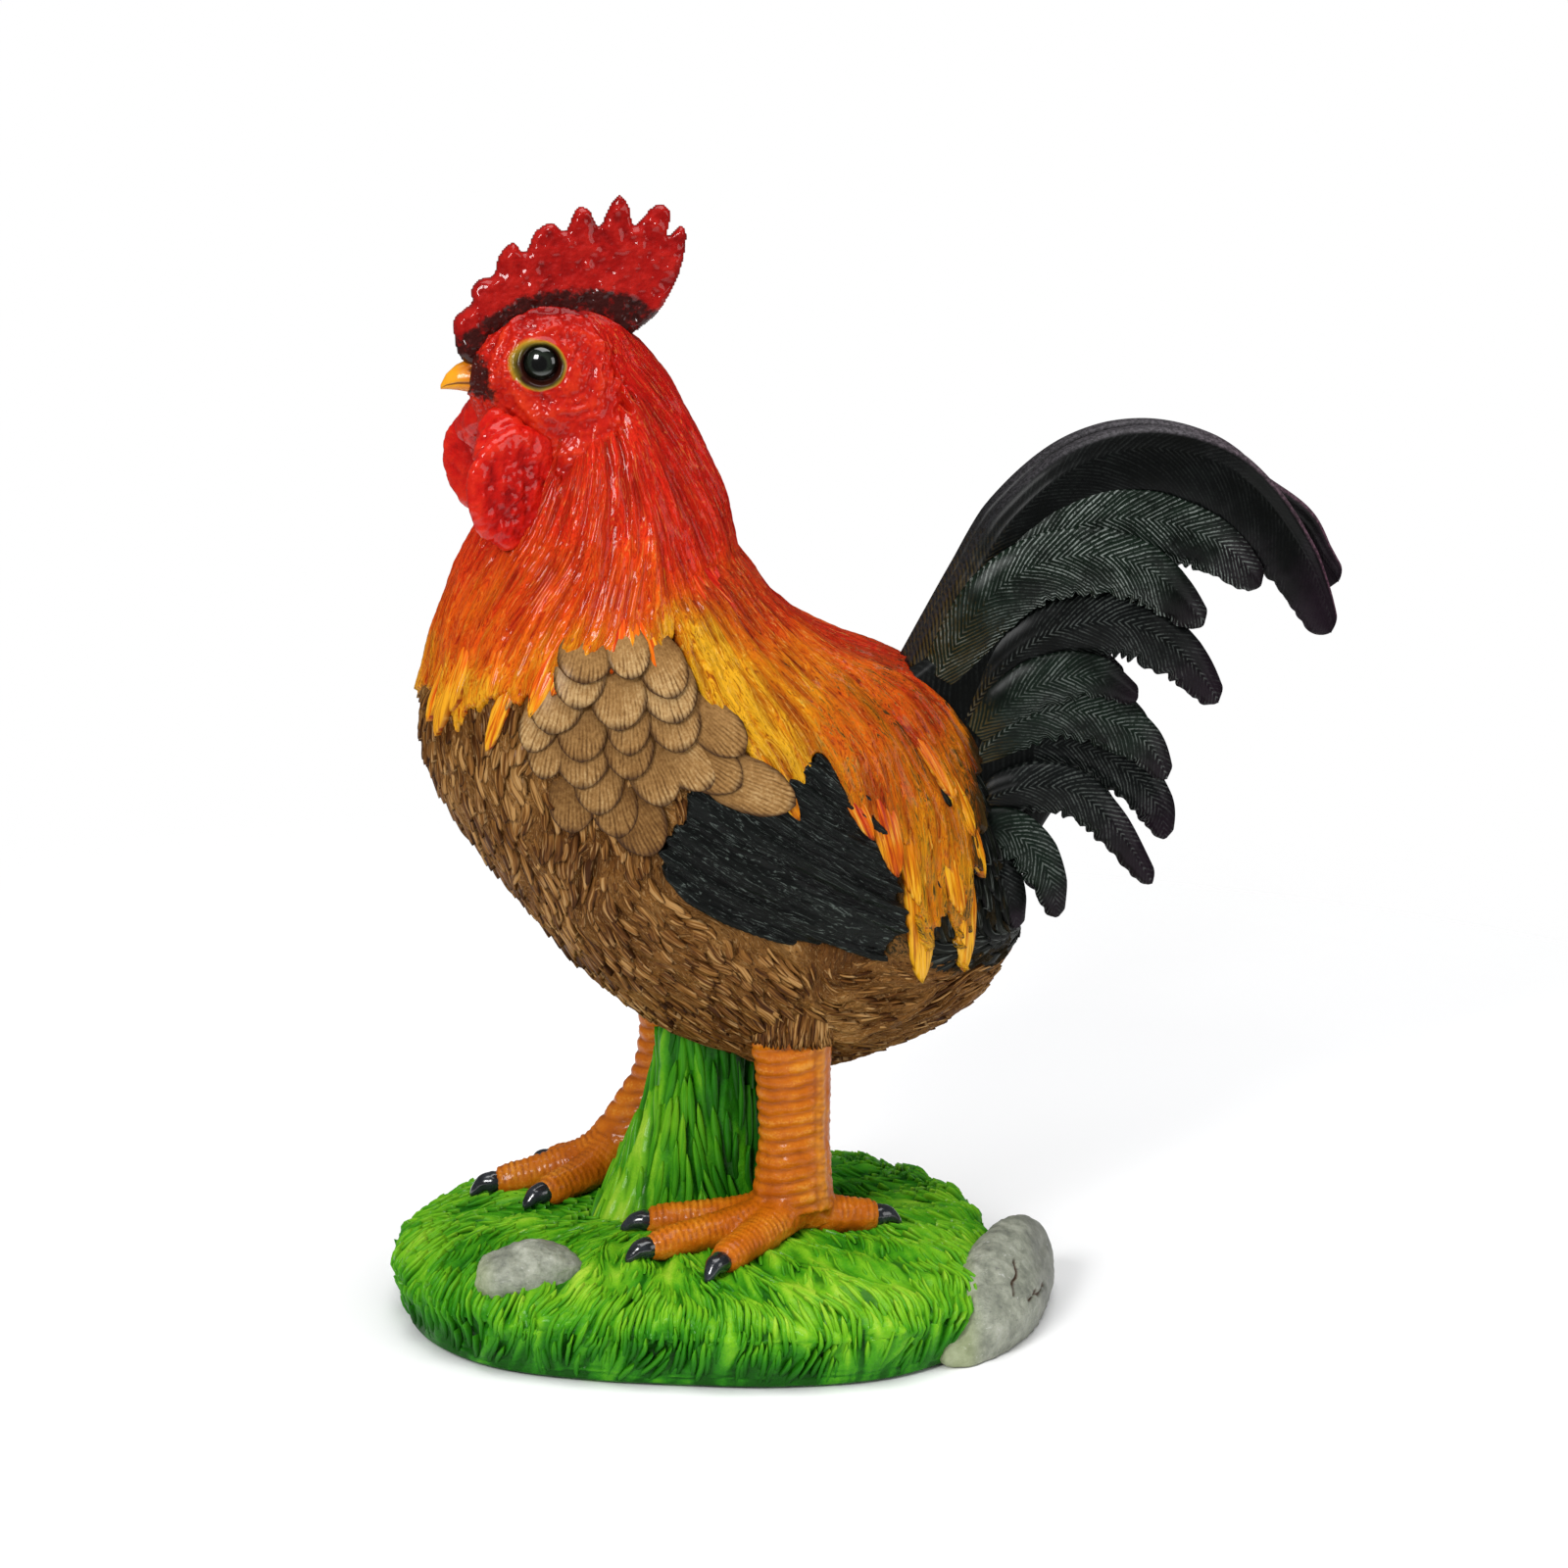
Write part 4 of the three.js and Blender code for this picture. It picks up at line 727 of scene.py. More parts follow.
def leg(side_name, foot, lean, arch, toes):
    x, y = foot
    base = ground(x, y)
    ankle = np.array([x, y, base + 16])
    top = np.array([x + lean - 3.4, y, 132])
    up = np.array([0, 0, 1.0])

    def shank_at(rise):
        return np.array([x + lean * (1 - (1 - rise) ** 4) - 3.4 * rise ** 2, y, ankle[2] + (132 - ankle[2]) * rise])

    shank_line = np.array([shank_at(0) - [0.12 * lean, 0, 7], *(shank_at(rise) for rise in (0.12, 0.25, 0.4, 0.6, 0.8)), top])
    bodies = [tube(pipe(shank_line, ([0, 0.1, 0.3, 0.6, 1], [15, 13.6, 12.3, 13.2, 18], [12, 10.9, 9.6, 10, 12.5]),
                        60, 40, np.array([0, 1.0, 0])))]
    limbs = [(ankle, top, "shank")]
    shanks[side_name] = Skin(*bodies[0]), top
    claws = []
    for end in toes:
        end = np.array(end, float)
        start = np.array([x, y, base + 6.4 * 1.35 + arch])
        spots = []
        for share in (0.4, 0.75, 1):
            px, py = x + (end[0] - x) * share, y + (end[1] - y) * share
            spots.append([px, py, ground(px, py) + 6.4 * (1.12 - 0.32 * share) - 1.4 + arch * (1 - share) ** 2])
        line = np.array([start, *spots])
        radii = ([0, 0.25, 0.45, 0.62, 0.8, 0.93, 1], [8.4, 7.0, 6.6, 6.0, 5.9, 5.2, 3.6], [8.4, 7.0, 6.6, 6.0, 5.9, 5.2, 3.6])
        bodies.append(tube(pipe(line, radii, 40, 22, up)))
        limbs.append((line, None, "toe"))
        away = unit((line[-1] - start) * [1, 1, 0])
        tip = line[-1] + away * 9.0
        tip[2] = ground(tip[0], tip[1]) + 0.9
        mid = line[-1] + away * 4.6 + [0, 0, -0.3]
        rings = pipe([line[-1] - away * 2.5, line[-1] + away * 1.5 + [0, 0, 0.3], mid, tip],
                     ([0, 0.3, 0.65, 0.9, 1], [3.9, 4.1, 3.4, 2.0, 0.7], [3.7, 3.9, 3.1, 1.7, 0.6]), 22, 18, up)
        claws.append(tube(rings))
    points, normal, quads = blended(side_name, bodies, 0.95, 3)
    marks = np.zeros((len(points), 3))
    # Which limb each point belongs to, and how far along it
    lengthwise = points[:, 2] - ankle[2]
    share = np.clip(lengthwise / (132 - ankle[2]), 0, 1)
    radial = points - [x, y, 0] - np.stack([lean * (1 - (1 - share) ** 4) - 3.4 * share ** 2, 0 * share, points[:, 2]], axis=-1)
    off_shank = np.linalg.norm(radial / [1.28, 1, 1], axis=1) - 9.8
    off_shank = np.where(lengthwise < -4, off_shank + (-4 - lengthwise) * 1.2, off_shank)
    best = np.full(len(points), 1e9)
    ring_phase = np.zeros(len(points))
    upper = np.zeros(len(points))
    for line, _, kind in limbs[1:]:
        place, tangent = curve(line, 60)
        far = np.linalg.norm(points[:, None] - place[None], axis=2)
        nearest = far.argmin(axis=1)
        span = np.concatenate([[0], np.cumsum(np.linalg.norm(np.diff(place, axis=0), axis=1))])
        off = far.min(axis=1) - 6
        closer = off < best
        best = np.where(closer, off, best)
        ring_phase = np.where(closer, (span[nearest] + ((points - place[nearest]) * tangent[nearest]).sum(axis=1)) / 2.4, ring_phase)
        upper = np.where(closer, (points - place[nearest])[:, 2] / 6, upper)
    on_shank = ease(1.2, -1.2, off_shank - best)
    around = np.arctan2(radial[:, 1] * np.sign(y), -radial[:, 0])
    front = ease(2.25, 1.75, np.abs(around - 0.35))
    scute = groove(lengthwise / 4.8 + 0.35 * np.cos(around * 1.1) + 0.12 * lumps(points, 8, 74), 5)
    bead_row = np.exp(-((np.abs(around - 0.35) - 2.05) / 0.16) ** 2)
    bead = groove(lengthwise / 2.4, 4) * bead_row
    pebble = groove(lengthwise / 3.1 + np.round(around * 3.2) * 0.5, 4) + groove(around * 3.2 + 0.5, 4)
    edge_line = np.exp(-((np.abs(around - 0.35) - 1.85) / 0.07) ** 2)
    shank_wash = np.clip(front * scute + (1 - front) * 0.55 * np.clip(pebble, 0, 1) + edge_line * 0.8 + bead * 0.6, 0, 1)
    toe_wash = np.clip(groove(ring_phase, 4.2) * ease(-0.35, 0.3, upper) + 0.25 * groove(ring_phase * 2 + 0.5, 4) * ease(0.2, -0.4, upper), 0, 1)
    palm = ease(20, 9, np.linalg.norm((points - [x, y, base + 8]) / [1, 1, 1.0], axis=1)) * (1 - on_shank)
    grain = lumps(points, (1.6, 1.6, 1.6), 71, 2)
    wash = on_shank * shank_wash + (1 - on_shank) * (toe_wash * (1 - palm) + palm * np.clip(-grain * 1.2, 0, 1))
    bulge = on_shank * (0.2 * (1 - scute) * front + 0.7 * bead_row) + (1 - on_shank) * 0.3 * (1 - palm)
    points = points + normal * (bulge - 0.5 * wash + 0.25 * grain)[:, None]
    marks[:, 0] = wash * (0.75 + 0.35 * lumps(points, 6, 75))
    # Painted light: a painted highlight along the bead row, painted shade on faces that turn down.
    marks[:, 1] = bead_row * on_shank - 0.2 * ease(0.1, -0.6, normal[:, 2])
    piece(side_name + "_skin", points, quads, horn, side_name, marks=marks)
    count = 0
    parts = []
    for claw_points, claw_faces in claws:
        parts.append((claw_points, [f + count for f in claw_faces]))
        count += len(claw_points)
    claw_points = np.concatenate([p for p, _ in parts])
    claw_faces = [np.concatenate([f[k] for _, f in parts]) for k in range(3)]
    piece(side_name + "_claws", claw_points, claw_faces, claw_black, side_name)


leg("left_leg", (30, -30), 1, 0, [(-23, -50), (0, -65), (-21, -26), (60, -26)])
leg("right_leg", (-20, 33), 19, 9, [(-68, 34), (-46, 56), (-53, 12), (17, 37)])

# Armature.
# A steel rod runs up inside each leg from the mound into the trunk. It is hidden in the
# castings and stays bare, with the fine rings that drawing leaves on it.
paint = Paint("drawn_steel", Metallic=1.0)
where = paint.place()
drawn = paint.noise(where, 500, 3, 0.6, (1, 1, 0.1))
steel = paint.finish(Base_Color=paint.ramp(drawn, (0.3, (0.3, 0.31, 0.32)), (0.7, (0.5, 0.51, 0.52))),
                     Roughness=0.3 + drawn * 0.2)
for side_name in ("left_leg_rod", "right_leg_rod"):
    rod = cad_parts[side_name]
    rod.data.materials.clear()
    rod.data.materials.append(steel)

# Neck and trunk.
# One casting from the head to the rump that the plumage lies on. Its slices run from the
# root of the beak down the neck and along the back: back x, z, then breast x, z, half width
# and how square the belly is.
SLICES = np.array([
    [-75.5, 343.5, -77, 328, 7.5, 1], [-69.5, 350, -76, 326.5, 11.5, 1], [-61, 355, -75, 323, 15, 1],
    [-50, 358, -73.5, 318, 18, 1], [-38, 357, -72, 311, 20, 1], [-27, 352, -70, 302, 21, 1],
    [-20, 344, -67.6, 292.4, 21.2, 1], [-9, 328.5, -73.8, 278.8, 26, 1], [0, 311, -80, 266.8, 31.2, 1],
    [8.4, 292, -85.8, 252, 36.8, 1], [12.6, 274.8, -89.8, 235.2, 42, 0.98], [18.6, 261.8, -94, 216.8, 46.6, 0.95],
    [29, 250, -90.6, 195.5, 50.6, 0.92], [42, 240.6, -77.4, 172.5, 53.4, 0.88], [55, 234.5, -58.3, 147.5, 54.9, 0.84],
    [67, 230, -37.2, 123.6, 54.9, 0.8], [77, 225, -14, 106, 52.4, 0.78], [87.3, 213.4, 9, 95.6, 48.4, 0.76],
    [96.3, 197.3, 32, 89.2, 42.4, 0.76], [103.9, 178, 54, 90.6, 34.9, 0.78], [109, 159, 76, 96.2, 25.4, 0.85],
    [112, 143, 95, 105.8, 14.4, 0.95], [112.5, 130, 106, 116.8, 3, 1]])


def bird_rings(share, sides, first=0, last=len(SLICES) - 1, steps=60):
    """Rings of the bird's own skin between two slices."""
    t = np.linspace(first, last, steps)
    p = np.concatenate([[2 * SLICES[0] - SLICES[1]], SLICES, [2 * SLICES[-1] - SLICES[-2]]])
    k = np.clip(t.astype(int), 0, len(SLICES) - 2)
    f = (t - k)[:, None]
    a, b, c, d = p[k], p[k + 1], p[k + 2], p[k + 3]
    row = 0.5 * (2 * b + (c - a) * f + (2 * a - 5 * b + 4 * c - d) * f ** 2 + (3 * b - a - 3 * c + d) * f ** 3)
    angle = np.linspace(share[0], share[1], sides, endpoint=share[1] - share[0] < 6.28)
    power = np.where(np.cos(angle) < 0, row[:, 5:6], 1)
    lengthwise = np.sign(np.cos(angle)) * np.abs(np.cos(angle)) ** power
    sidewise = np.sign(np.sin(angle)) * np.abs(np.sin(angle)) ** power
    x = (row[:, 0:1] + row[:, 2:3]) / 2 + (row[:, 0:1] - row[:, 2:3]) / 2 * lengthwise
    z = (row[:, 1:2] + row[:, 3:4]) / 2 + (row[:, 1:2] - row[:, 3:4]) / 2 * lengthwise
    return np.stack([x, row[:, 4:5] * sidewise, z], axis=-1)


bird_points, bird_faces = tube(bird_rings((0, 2 * np.pi), 130, steps=170))
bird_skin = Skin(bird_points, bird_faces)

# Side-view outlines of the neck hackle, the saddle and the black of the wing
HACKLE = [(-130, 240), (-97, 228), (-89, 222), (-84, 217), (-79, 225), (-71, 231), (-63, 231), (-58, 227), (-53, 234), (-42, 242),
          (-37, 246), (-34, 241), (-30, 246), (-24, 241), (-20, 236), (-15, 246), (-8, 256), (2, 262), (14, 266), (30, 275), (60, 420), (-130, 420)]
SADDLE = [(-16, 255), (-11, 243), (-4, 229), (6, 215), (16, 205), (23, 198), (26, 190), (30, 199), (36, 206), (42, 197), (48, 188), (52, 181),
          (54, 187), (57, 177), (61, 169), (64, 175), (67, 176), (69, 166), (71, 152), (72, 138), (74, 129), (77, 142), (80, 147), (85, 136), (88, 129),
          (90, 141), (89, 149), (91, 161), (96, 159), (94, 168), (97, 182), (94, 189), (96, 196), (92, 206), (90, 217), (92, 231),
          (100, 245), (60, 262), (32, 292), (8, 292), (-12, 280), (-20, 264)]
WING = [(-7, 203), (-13, 192), (-20, 180), (-17, 169), (-9, 160), (2, 152.5), (12, 148.5), (24, 145), (41, 141), (60, 135.5),
        (68, 150), (64, 168), (56, 189), (37, 213), (28, 203), (16, 199), (4, 198)]

# Guides for the plumage: x, z, the way the feathers lie there, and how far the paint has gone
# from red (0) through orange to yellow (1)
GUIDES = np.array([
    (-7, 310, 0.43, -0.9, 0.08), (6, 279, 0.32, -0.95, 0.22), (-24, 307, 0.1, -1, 0.16), (-40, 294, -0.23, -0.97, 0.22),
    (-54, 268, -0.56, -0.83, 0.42), (-76, 288, -0.35, -0.93, 0.16), (-88, 272, -0.3, -0.95, 0.3), (-74, 255, -0.59, -0.81, 0.52), (-89, 255, -0.36, -0.93, 0.55),
    (-92, 235, -0.05, -1, 0.8), (-84, 223, 0.19, -0.98, 1), (-27, 267, -0.32, -0.95, 0.42),
    (-47, 244, -0.47, -0.88, 0.7), (-12, 246, 0, -1, 0.72), (-1, 236, 0.32, -0.95, 1), (-60, 312, -0.28, -0.96, 0.1),
    (-40, 335, 0, -1, 0), (-18, 340, 0.5, -0.87, 0), (-30, 352, 0.35, -0.94, 0), (-6, 322, 0.5, -0.87, 0.02), (12, 253, 0.43, -0.9, 0.36), (1, 267, 0.4, -0.92, 0.22), (-38, 234, -0.28, -0.96, 0.7), (-61, 224, -0.36, -0.93, 0.8),
    (-3, 246, 0.4, -0.92, 1), (13, 218, 0.47, -0.88, 1), (26, 258, 0.79, -0.61, 0.2), (46, 246, 0.85, -0.53, 0.14),
    (46, 223, 0.36, -0.93, 0.45), (33, 231, 0.4, -0.92, 0.65), (26, 203, 0.36, -0.93, 0.95), (60, 202, 0.28, -0.96, 0.5),
    (73, 229, 0.69, -0.72, 0.3), (77, 177, 0.14, -0.99, 0.72), (89, 201, 0.5, -0.87, 0.62), (87, 159, 0.05, -1, 0.78),
    (94, 242, 0.92, -0.38, 0.2), (72, 217, 0.4, -0.92, 0.3), (-94, 201, 0.14, -0.99, 0.9), (-82, 166, 0.4, -0.92, 0.9),
    (-61, 182, 0.19, -0.98, 0.9), (-55, 137, 0.65, -0.76, 0.9), (-35, 157, 0.43, -0.9, 0.9), (-15, 118, 0.89, -0.46, 0.9),
    (-8, 142, 0.87, -0.49, 0.9), (26, 123, 0.65, -0.76, 0.9), (60, 115, 0.99, 0.1, 0.9), (88, 117, 0.94, 0.34, 0.9)])


def blend_guides(points):
    """Blend of the guides round each point, nearest ones most: heading x, z and heat."""
    gap = (points[..., None, 0] - GUIDES[:, 0]) ** 2 + (points[..., None, 2] - GUIDES[:, 1]) ** 2
    weight = 1 / (gap + 40) ** 2
    return (weight @ GUIDES[:, 2:]) / weight.sum(axis=-1)[..., None]


TABLE_LOW, TABLE_STEP = np.array([-130.0, 70.0]), 2.0
table_x, table_z = np.meshgrid(np.arange(-130, 140, 2.0), np.arange(70, 380, 2.0), indexing="ij")
TABLE = blend_guides(np.stack([table_x, 0 * table_x, table_z], axis=-1))


def guided(points):
    """The guides' blend, read from a table."""
    spot = (points[..., [0, 2]] - TABLE_LOW) / TABLE_STEP
    spot = np.clip(spot, 0, np.array(TABLE.shape[:2]) - 1.001)
    k = spot.astype(int)
    fx, fz = (spot - k)[..., :1], (spot - k)[..., 1:]
    i, j = k[..., 0], k[..., 1]
    lower = TABLE[i, j] * (1 - fx) + TABLE[i + 1, j] * fx
    upper = TABLE[i, j + 1] * (1 - fx) + TABLE[i + 1, j + 1] * fx
    return lower * (1 - fz) + upper * fz


def plume(points):
    way = guided(points)
    sway = 0.12 * lumps(points, 20, 81, 1)
    return np.stack([way[..., 0] + sway, 0.05 * sway, way[..., 1]], axis=-1)


def within(points, outline):
    """Which points lie inside a side-view outline."""
    x, z = points[..., 0], points[..., 2]
    inside = np.zeros(x.shape, bool)
    for (x0, z0), (x1, z1) in zip(outline, outline[1:] + outline[:1]):
        crosses = (z0 > z) != (z1 > z)
        inside ^= crosses & (x < (x1 - x0) * (z - z0) / (z1 - z0 + 1e-12) + x0)
    return inside


def depth_in(points, outline):
    """How far inside a side-view outline each point lies, less than 0 outside."""
    x, z = points[..., 0], points[..., 2]
    best = np.full(x.shape, 1e9)
    for (x0, z0), (x1, z1) in zip(outline, outline[1:] + outline[:1]):
        share = np.clip(((x - x0) * (x1 - x0) + (z - z0) * (z1 - z0)) / ((x1 - x0) ** 2 + (z1 - z0) ** 2), 0, 1)
        best = np.minimum(best, np.hypot(x - x0 - share * (x1 - x0), z - z0 - share * (z1 - z0)))
    return np.where(within(points, outline), best, -best)


def feather_paint(name, stops, wash, wash_edge, streaks, gloss, dry=None, pitch=0.0006):
    """Paint for a strip: stops colour the heat, a wash darkens its edges, fine streaks run along it."""
    paint = Paint(name, Coat_Weight=gloss, Coat_Roughness=0.12, Specular_IOR_Level=0.06)
    lie, (along, across, fate) = paint.vector("lie")
    marks, (edge, heat, s) = paint.vector("marks")
    where = paint.place()
    streak = paint.noise(lie, 1, 3, 0.55, (70, 1300, 30))
    broad = paint.noise(lie, 1, 2, 0.5, (25, 330, 30))
    patch = paint.noise(where, 60, 3, 0.6)
    value = heat + (streak - 0.5) * streaks + (broad - 0.5) * streaks + (fate - 0.5) * streaks * 0.16 + (patch - 0.5) * 0.25
    colour = paint.ramp(value, *stops)
    dark = (1 - edge.step(*wash_edge)) * 0.85 + (1 - streak.step(0.36, 0.5)) * 0.45
    colour = paint.mix(dark.maths("MINIMUM", dark, 0.92), colour, wash)
    if dry:
        colour = paint.mix(streak.step(0.54, 0.66) * s.step(0.1, 0.8) * dry[1], colour, dry[0])
    relief = streak * 0.6 + broad * 1.0
    return paint.finish(Base_Color=colour, Roughness=0.4 + streak * 0.2, Normal=paint.bump(relief, pitch, 0.8))


def cape_paint(name, stops, wash, streaks, gloss, dry=None, shine=0.06):
    """Paint for combed surfaces: the mesh carries the locks, the finest strands follow its three combed values."""
    paint = Paint(name, Coat_Weight=gloss, Coat_Roughness=0.1, Specular_IOR_Level=shine)
    lie, (fine, coarse, middle) = paint.vector("lie")
    marks, (edge, heat, s) = paint.vector("marks")
    where = paint.place()
    patch = paint.noise(where, 60, 3, 0.6)
    speck = paint.noise(where, 1300, 3, 0.65)
    strand = paint.noise(lie, 1, 3, 0.6, (1.7, 2.6, 2.6))
    spread = (heat * 0.9 + 0.25) * streaks
    value = heat + (fine * 0.08 + coarse * 0.05 + (strand - 0.5) * 1.1) * spread + (patch - 0.5) * 0.2
    colour = paint.ramp(value, *stops)
    dark = (1 - edge.step(-0.1, 0.4)) * 0.5 + (1 - fine.step(-1.7, -0.3)) * 0.35 + (1 - coarse.step(-2.1, -0.7)) * 0.3 \
        + (1 - strand.step(0.34, 0.46)) * 0.55
    colour = paint.mix(dark.maths("MINIMUM", dark, 0.85), colour, wash)
    if dry:
        colour = paint.mix(strand.step(0.56, 0.66) * speck.step(0.3, 0.5) * dry[1], colour, dry[0])
    soot = (s + (strand - 0.5) * 1.3 + fine * 0.06).step(0.35, 0.62)
    colour = paint.mix(soot * 0.95, colour, (0.012, 0.011, 0.004))
    relief = strand * 1.2 + speck * 0.25
    return paint.finish(Base_Color=colour, Roughness=0.45 + (speck - 0.5) * 0.2, Normal=paint.bump(relief, 0.0011, 1.0))


def combed_skin(name, nodes, paint, span, flow, outline=None, thick=2.6, sink=2.4, ragged=1.6, hard=1.4,
                relief=(0.45, 0.34), sizes=(6.5, 1.4), reach=(20, 13), heat=None, locks=0.0, seed=1, edge_wash=3.5, limit=None, lower=None,
                soot=None):
    """A combed layer over the bird: covers an outline with a ragged edge, or everything.

    span is (first angle, last angle, columns, first slice, last slice, rows).
    """
    start, end, columns, first, last, rows = span
    closed = end - start > 6.28
    rings = bird_rings((start, end), columns, first, last, rows)
    normals = ring_normals(rings, closed)
    coarse = combed(rings, normals, flow, sizes[0], reach[0], seed, closed).ravel()
    fine = combed(rings, normals, flow, sizes[1], reach[1], seed + 1, closed).ravel()
    middle = combed(rings, normals, flow, sizes[1] * 2.2, reach[1] * 1.3, seed + 5, closed).ravel()
    faces = lattice(rows, columns, closed)
    points, normals = rings.reshape(-1, 3), normals.reshape(-1, 3)
    angle = np.tile(np.linspace(start, end, columns, endpoint=not closed), rows)
    inner = np.full(len(points), 50.0) if outline is None else depth_in(points, outline)
    if limit is not None:
        inner = np.minimum(inner, limit(points))
    used = (inner > -5)[faces].any(axis=1)
    kept, faces = np.unique(faces[used], return_inverse=True)
    faces = faces.reshape(-1, 4)
    points, normals, inner, angle = points[kept], normals[kept], inner[kept], angle[kept]
    coarse, fine, middle = coarse[kept], fine[kept], middle[kept]
    lowered = 0 if lower is None else lower(points)
    inner = inner + ragged * coarse + 0.35 * ragged * fine
    cover = ease(-0.2, hard, inner)
    lock = locks * (0.5 - 0.5 * np.cos(10 * angle + 1.1 * lumps(points, 30, seed + 2)))
    strands = np.clip(relief[0] * coarse + relief[1] * fine, -1.1, 2.4)
    height = cover * (thick + lock + strands) - (1 - cover) * sink - lowered
    warm = np.zeros(len(points)) if heat is None else heat(points)
    raised = points + normals * height[:, None]
    lie = np.stack([fine, coarse, middle], axis=-1)
    dark = np.zeros(len(points)) if soot is None else soot(points)
    marks = np.stack([np.clip(inner / edge_wash, -1, 1), warm, dark], axis=-1)
    a, b, c = (points[faces[:, k]] for k in range(3))
    if (np.cross(b - a, c - a) * normals[faces[:, 0]]).sum() < 0:
        faces = faces[:, ::-1]
    return piece(name, raised, faces, paint, nodes, lie, marks)


FIRE = [(0.0, (0.5, 0.006, 0.003)), (0.2, (0.66, 0.02, 0.003)), (0.42, (0.73, 0.052, 0.003)),
        (0.66, (0.76, 0.12, 0.003)), (0.86, (0.72, 0.21, 0.004)), (1.0, (0.76, 0.34, 0.012))]
EMBER = [(0.0, (0.42, 0.01, 0.003)), (0.2, (0.54, 0.036, 0.003)), (0.42, (0.6, 0.105, 0.003)),
         (0.66, (0.62, 0.175, 0.003)), (0.86, (0.66, 0.25, 0.004)), (1.0, (0.78, 0.38, 0.012))]
BROWN = [(0.0, (0.05, 0.015, 0.003)), (0.35, (0.14, 0.052, 0.01)), (0.65, (0.25, 0.11, 0.026)), (1.0, (0.42, 0.22, 0.07))]
brown_wash = (0.03, 0.01, 0.002)
brown_skin = cape_paint("brown_down", BROWN, brown_wash, 1.0, 0.05, ((0.46, 0.28, 0.12), 0.6))
brown = feather_paint("brown_breast", BROWN, brown_wash, (-0.3, 0.4), 2.0, 0.08, ((0.46, 0.28, 0.12), 0.6))


def brown_heat(points):
    return 0.5 + 0.25 * lumps(points, 22, 94)


def ruffled(points):
    """Breast feathers lie down the breast, each a little askew."""
    return plume(points) + np.stack([0.8 * lumps(points, 9, 86), 0 * points[..., 0], 0.5 * lumps(points, 9, 87)], axis=-1)


def under_coat(points):
    """How far the trunk sinks below the layers that cover it."""
    covered = np.maximum(np.maximum(depth_in(points, HACKLE), depth_in(points, SADDLE)), depth_in(points, WING))
    return 3.2 * ease(0.5, 4, covered) + 3 * ease(280, 300, points[:, 2])


def blackened(points):
    """1 on the black rump under the tail."""
    tail_root = ease(72, 84, points[:, 0]) * ease(121, 131, points[:, 2] + 0.25 * (points[:, 0] - 85))
    return np.maximum(tail_root, 0.42 * ease(52, 60, points[:, 0]) * ease(131, 137, points[:, 2]))


combed_skin("trunk_skin", "body_shell", brown_skin, (0, 2 * np.pi, 480, 6.5, len(SLICES) - 1, 390), ruffled,
            relief=(0.55, 0.5), sizes=(3.0, 0.95), reach=(12, 7), heat=brown_heat, thick=0.3, seed=82, lower=under_coat,
            soot=blackened)

# Breast and belly.
# Shaggy brown feathers carved over the breast, finer hair-like strokes under the belly, with
# a dark wash between them and dry-brushed tips.
def hackle_edge(x):
    return np.interp(x, *zip(*HACKLE[1:-2]))


all_spots, all_out = samples(bird_points, bird_faces, 60000, 91)
all_heading = bird_skin.across(plume, all_spots, all_out)


def coat(region, along, across, limit, length, half, outline, rise, seed, flow=plume, **more):
    fits = region(all_spots) & (all_spots[:, 1] < 2)
    spots, out, heading = all_spots[fits], all_out[fits], all_heading[fits]
    chosen = scattered(spots, out, heading, along, across, limit, seed)
    luck = np.random.default_rng(seed)
    count = len(chosen)
    near = strips(bird_skin, spots[chosen], flow, length * luck.uniform(0.6, 1.25, count),
                  half * luck.uniform(0.8, 1.25, count), outline, rise, **more)
    return together(near, mirrored(near))


def on_breast(p):
    return (p[:, 2] < hackle_edge(p[:, 0]) + 6) & (p[:, 0] < 22) & (p[:, 2] > 112 + 0.3 * p[:, 0]) & (depth_in(p, WING) < -4)


def on_belly(p):
    return (p[:, 2] < 150 - 0.25 * p[:, 0]) & (p[:, 0] > -62) & (depth_in(p, WING) < -3)


ragged = ([0, 0.15, 0.5, 0.75, 0.9, 1], [0.3, 0.75, 1, 0.7, 0.5, 0.08])
breast = coat(on_breast, 6, 2.8, 1450, 12.5, 1.9, ragged, (-1.2, 1.6, 0.5, 0.7), 92, flow=ruffled, cols=5, steps=9, ribs=0.3, sink=-1.4)
hair = ([0, 0.3, 0.7, 1], [0.5, 1, 0.7, 0.05])
belly = coat(on_belly, 6, 1.9, 1500, 9, 0.8, hair, (-0.8, 1.1, 0.4, 0.6), 93, flow=ruffled, cols=3, steps=6, sink=-1.0)
laid("breast_feathers", breast, brown, "body_shell", brown_heat(breast["points"]))
laid("belly_feathers", belly, brown, "body_shell", brown_heat(belly["points"]))


def downwards(points):
    return np.stack([0.3 * lumps(points, 6, 88), 0 * points[..., 0], 0 * points[..., 0] - 1], axis=-1)


# A ragged skirt of the same fine feathers over the top of each leg
SKIRT_END = 103.5
for side_name, (shank, top) in shanks.items():
    count = 420
    turn = chance.uniform(0, 2 * np.pi, count)
    above = chance.uniform(3, 17, count)
    length = above * chance.uniform(0.55, 1.0, count) + 1.5
    if side_name == "right_leg":
        # This thigh bulges out of the belly, so its coat starts higher up
        upper = np.random.default_rng(12)
        turn = np.append(turn, upper.uniform(0, 2 * np.pi, 2 * count))
        above = np.append(above, upper.uniform(15, 31, 2 * count))
        length = np.append(length, upper.uniform(7, 11, 2 * count))
    count = len(turn)
    beside = np.stack([top[0] + 26 * np.cos(turn), top[1] + 24 * np.sin(turn), SKIRT_END + above], axis=-1)
    skirt = strips(shank, shank.onto(beside)[0], downwards, length, np.full(count, 0.95), hair, (0.1, 1.3, 0.35, 0.5),
                   steps=6, cols=3, sink=-0.6)
    laid(side_name + "_skirt", skirt, brown, "body_shell", brown_heat(skirt["points"]) - 0.05)

